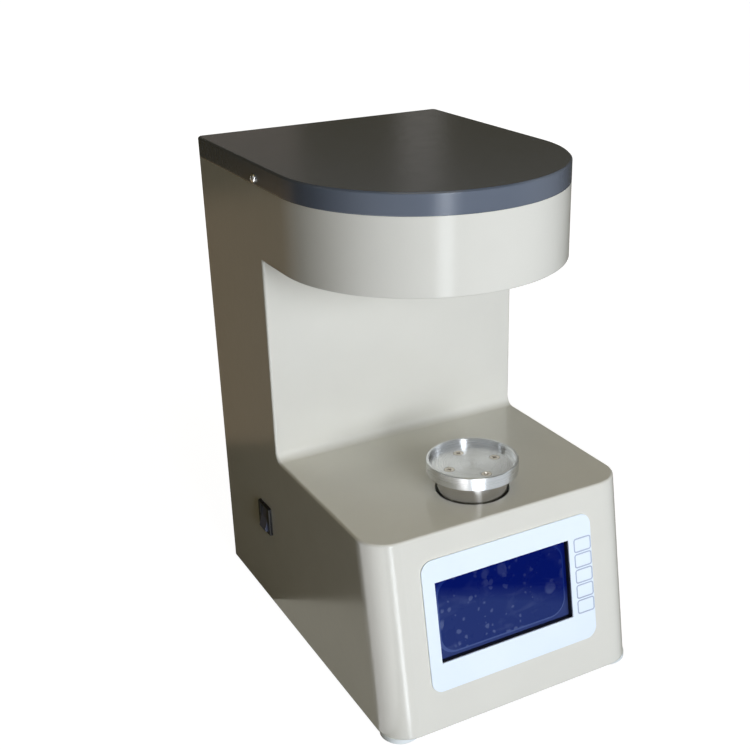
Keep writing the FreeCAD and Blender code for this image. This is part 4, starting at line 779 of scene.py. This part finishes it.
def outward(azimuth, elevation):
    """The direction at an azimuth from the object's front, and an elevation, in degrees."""
    a, e = math.radians(azimuth), math.radians(elevation)
    return Vector((math.sin(a) * math.cos(e), -math.cos(a) * math.cos(e), math.sin(e)))


def softbox(name, azimuth, elevation, distance, width, height, watts, colour, seen=False):
    """An area light that faces the object, and is left out of its reflections unless seen."""
    lamp = bpy.data.lights.new(name, "AREA")
    lamp.shape = "RECTANGLE"
    lamp.size, lamp.size_y = width, height
    lamp.energy = watts
    lamp.color = colour
    obj = bpy.data.objects.new(name, lamp)
    out = outward(azimuth, elevation)
    obj.location = TARGET + out * distance
    obj.rotation_mode = "QUATERNION"
    obj.rotation_quaternion = (-out).to_track_quat("-Z", "Y")
    obj.visible_glossy = seen
    obj.visible_camera = False
    bpy.context.scene.collection.objects.link(obj)


def card(name, corners, colour, strength):
    """A glowing sheet that only reflections see."""
    look = bpy.data.materials.new(name)
    look.use_nodes = True
    tree = look.node_tree
    tree.nodes.remove(tree.nodes["Principled BSDF"])
    shine = tree.nodes.new("ShaderNodeEmission")
    shine.inputs["Color"].default_value = colour + (1.0,)
    shine.inputs["Strength"].default_value = strength
    tree.links.new(shine.outputs[0], tree.nodes["Material Output"].inputs["Surface"])
    obj = sheet(name, corners, look)
    obj.visible_camera = obj.visible_diffuse = obj.visible_shadow = False
    obj.visible_transmission = False


def lying_card(name, corners, rise, colour, strength):
    """A card on the table, at a rise above it that keeps cards that cross apart."""
    card(name, [(x, y, rise) for x, y in corners], colour, strength)


def standing_card(name, azimuth, spread, low, high, colour, strength):
    """An upright card behind the object, spread degrees wide and between two elevations as
    seen from the object's top."""
    corners = []
    for side, rise in ((-0.5, low), (0.5, low), (0.5, high), (-0.5, high)):
        point = outward(azimuth + side * spread, 0) * CARD_DISTANCE
        height = CARD_DISTANCE * math.tan(math.radians(rise))
        corners.append(COVER_TOP + point + Vector((0, 0, height)))
    card(name, corners, colour, strength)


# The lamps: azimuth, elevation, distance, width, height, watts and colour

COOL = (0.93, 0.99, 1.12)
WARM = (1.0, 0.82, 0.38)
softbox("strip", -9, 4, 1.7, 0.25, 1.4, 13.5, COOL)
softbox("front_box", 8, 12, 2.0, 1.5, 0.7, 24.0, COOL)
softbox("top_box", -20, 75, 1.8, 1.0, 1.0, 2.6, WARM, seen=True)
softbox("rear_box", 172, 15, 2.2, 1.2, 0.9, 9.0, WHITE)

# The window's glint on the table close by, and the lit table left of it, which only the
# front corner mirrors
lying_card(
    "near_glint", ((-0.108, -0.110), (-0.094, -0.110), (-0.130, -0.700), (-0.256, -0.700)),
    0.001, WINDOW_TINT, 7.0,
)
lying_card(
    "corner_light", ((-0.110, -0.045), (-0.462, -0.656), (-0.830, -0.200), (-0.665, 0.380)),
    0.0008, WHITE, 2.3,
)

# The light on the table at the left, close by and further back, which the left side mirrors
lying_card(
    "side_light", ((-0.1085, 0.156), (-0.1085, -0.10), (-0.26, -0.30), (-0.26, 0.056)),
    0.0006, (1.0, 0.97, 0.82), 0.58,
)
lying_card(
    "far_side_light", ((-0.08, 0.535), (-0.45, 0.31), (-1.25, 1.35), (-0.15, 1.72)),
    0.0006, (1.0, 0.74, 0.46), 0.29,
)

# The lit doorway and walls behind, which the cover mirrors: azimuth, spread, lowest and
# highest elevation, colour and strength
standing_card("doorway", 150.5, 3.0, 6, 40, (1.0, 0.94, 0.86), 0.22)
standing_card("warm_wall", 163, 8.0, 4, 14, (1.0, 0.86, 0.72), 0.16)
standing_card("high_wall", 152, 50.0, 13.5, 28, (1.0, 0.95, 0.86), 0.18)

# The photo's camera

camera = bpy.data.objects.new("camera", bpy.data.cameras.new("camera"))
bpy.context.scene.collection.objects.link(camera)
bpy.context.scene.camera = camera
camera.data.sensor_width = 36.0
camera.data.lens = 55.394
camera.data.shift_x = -0.0408
camera.data.shift_y = 0.0394
AZIMUTH, ELEVATION, ROLL = -28.318, 23.954, -1.202
back = outward(AZIMUTH, ELEVATION)
right = Vector((0, 0, 1)).cross(back).normalized()
up = back.cross(right)
level = Matrix((right, up, back)).transposed()
camera.rotation_mode = "QUATERNION"
roll = Matrix.Rotation(math.radians(ROLL), 3, "Z")
camera.rotation_quaternion = (level @ roll).to_quaternion()
camera.location = (-0.4012, -0.6433, 0.5559)

bpy.context.scene.view_settings.view_transform = "Standard"
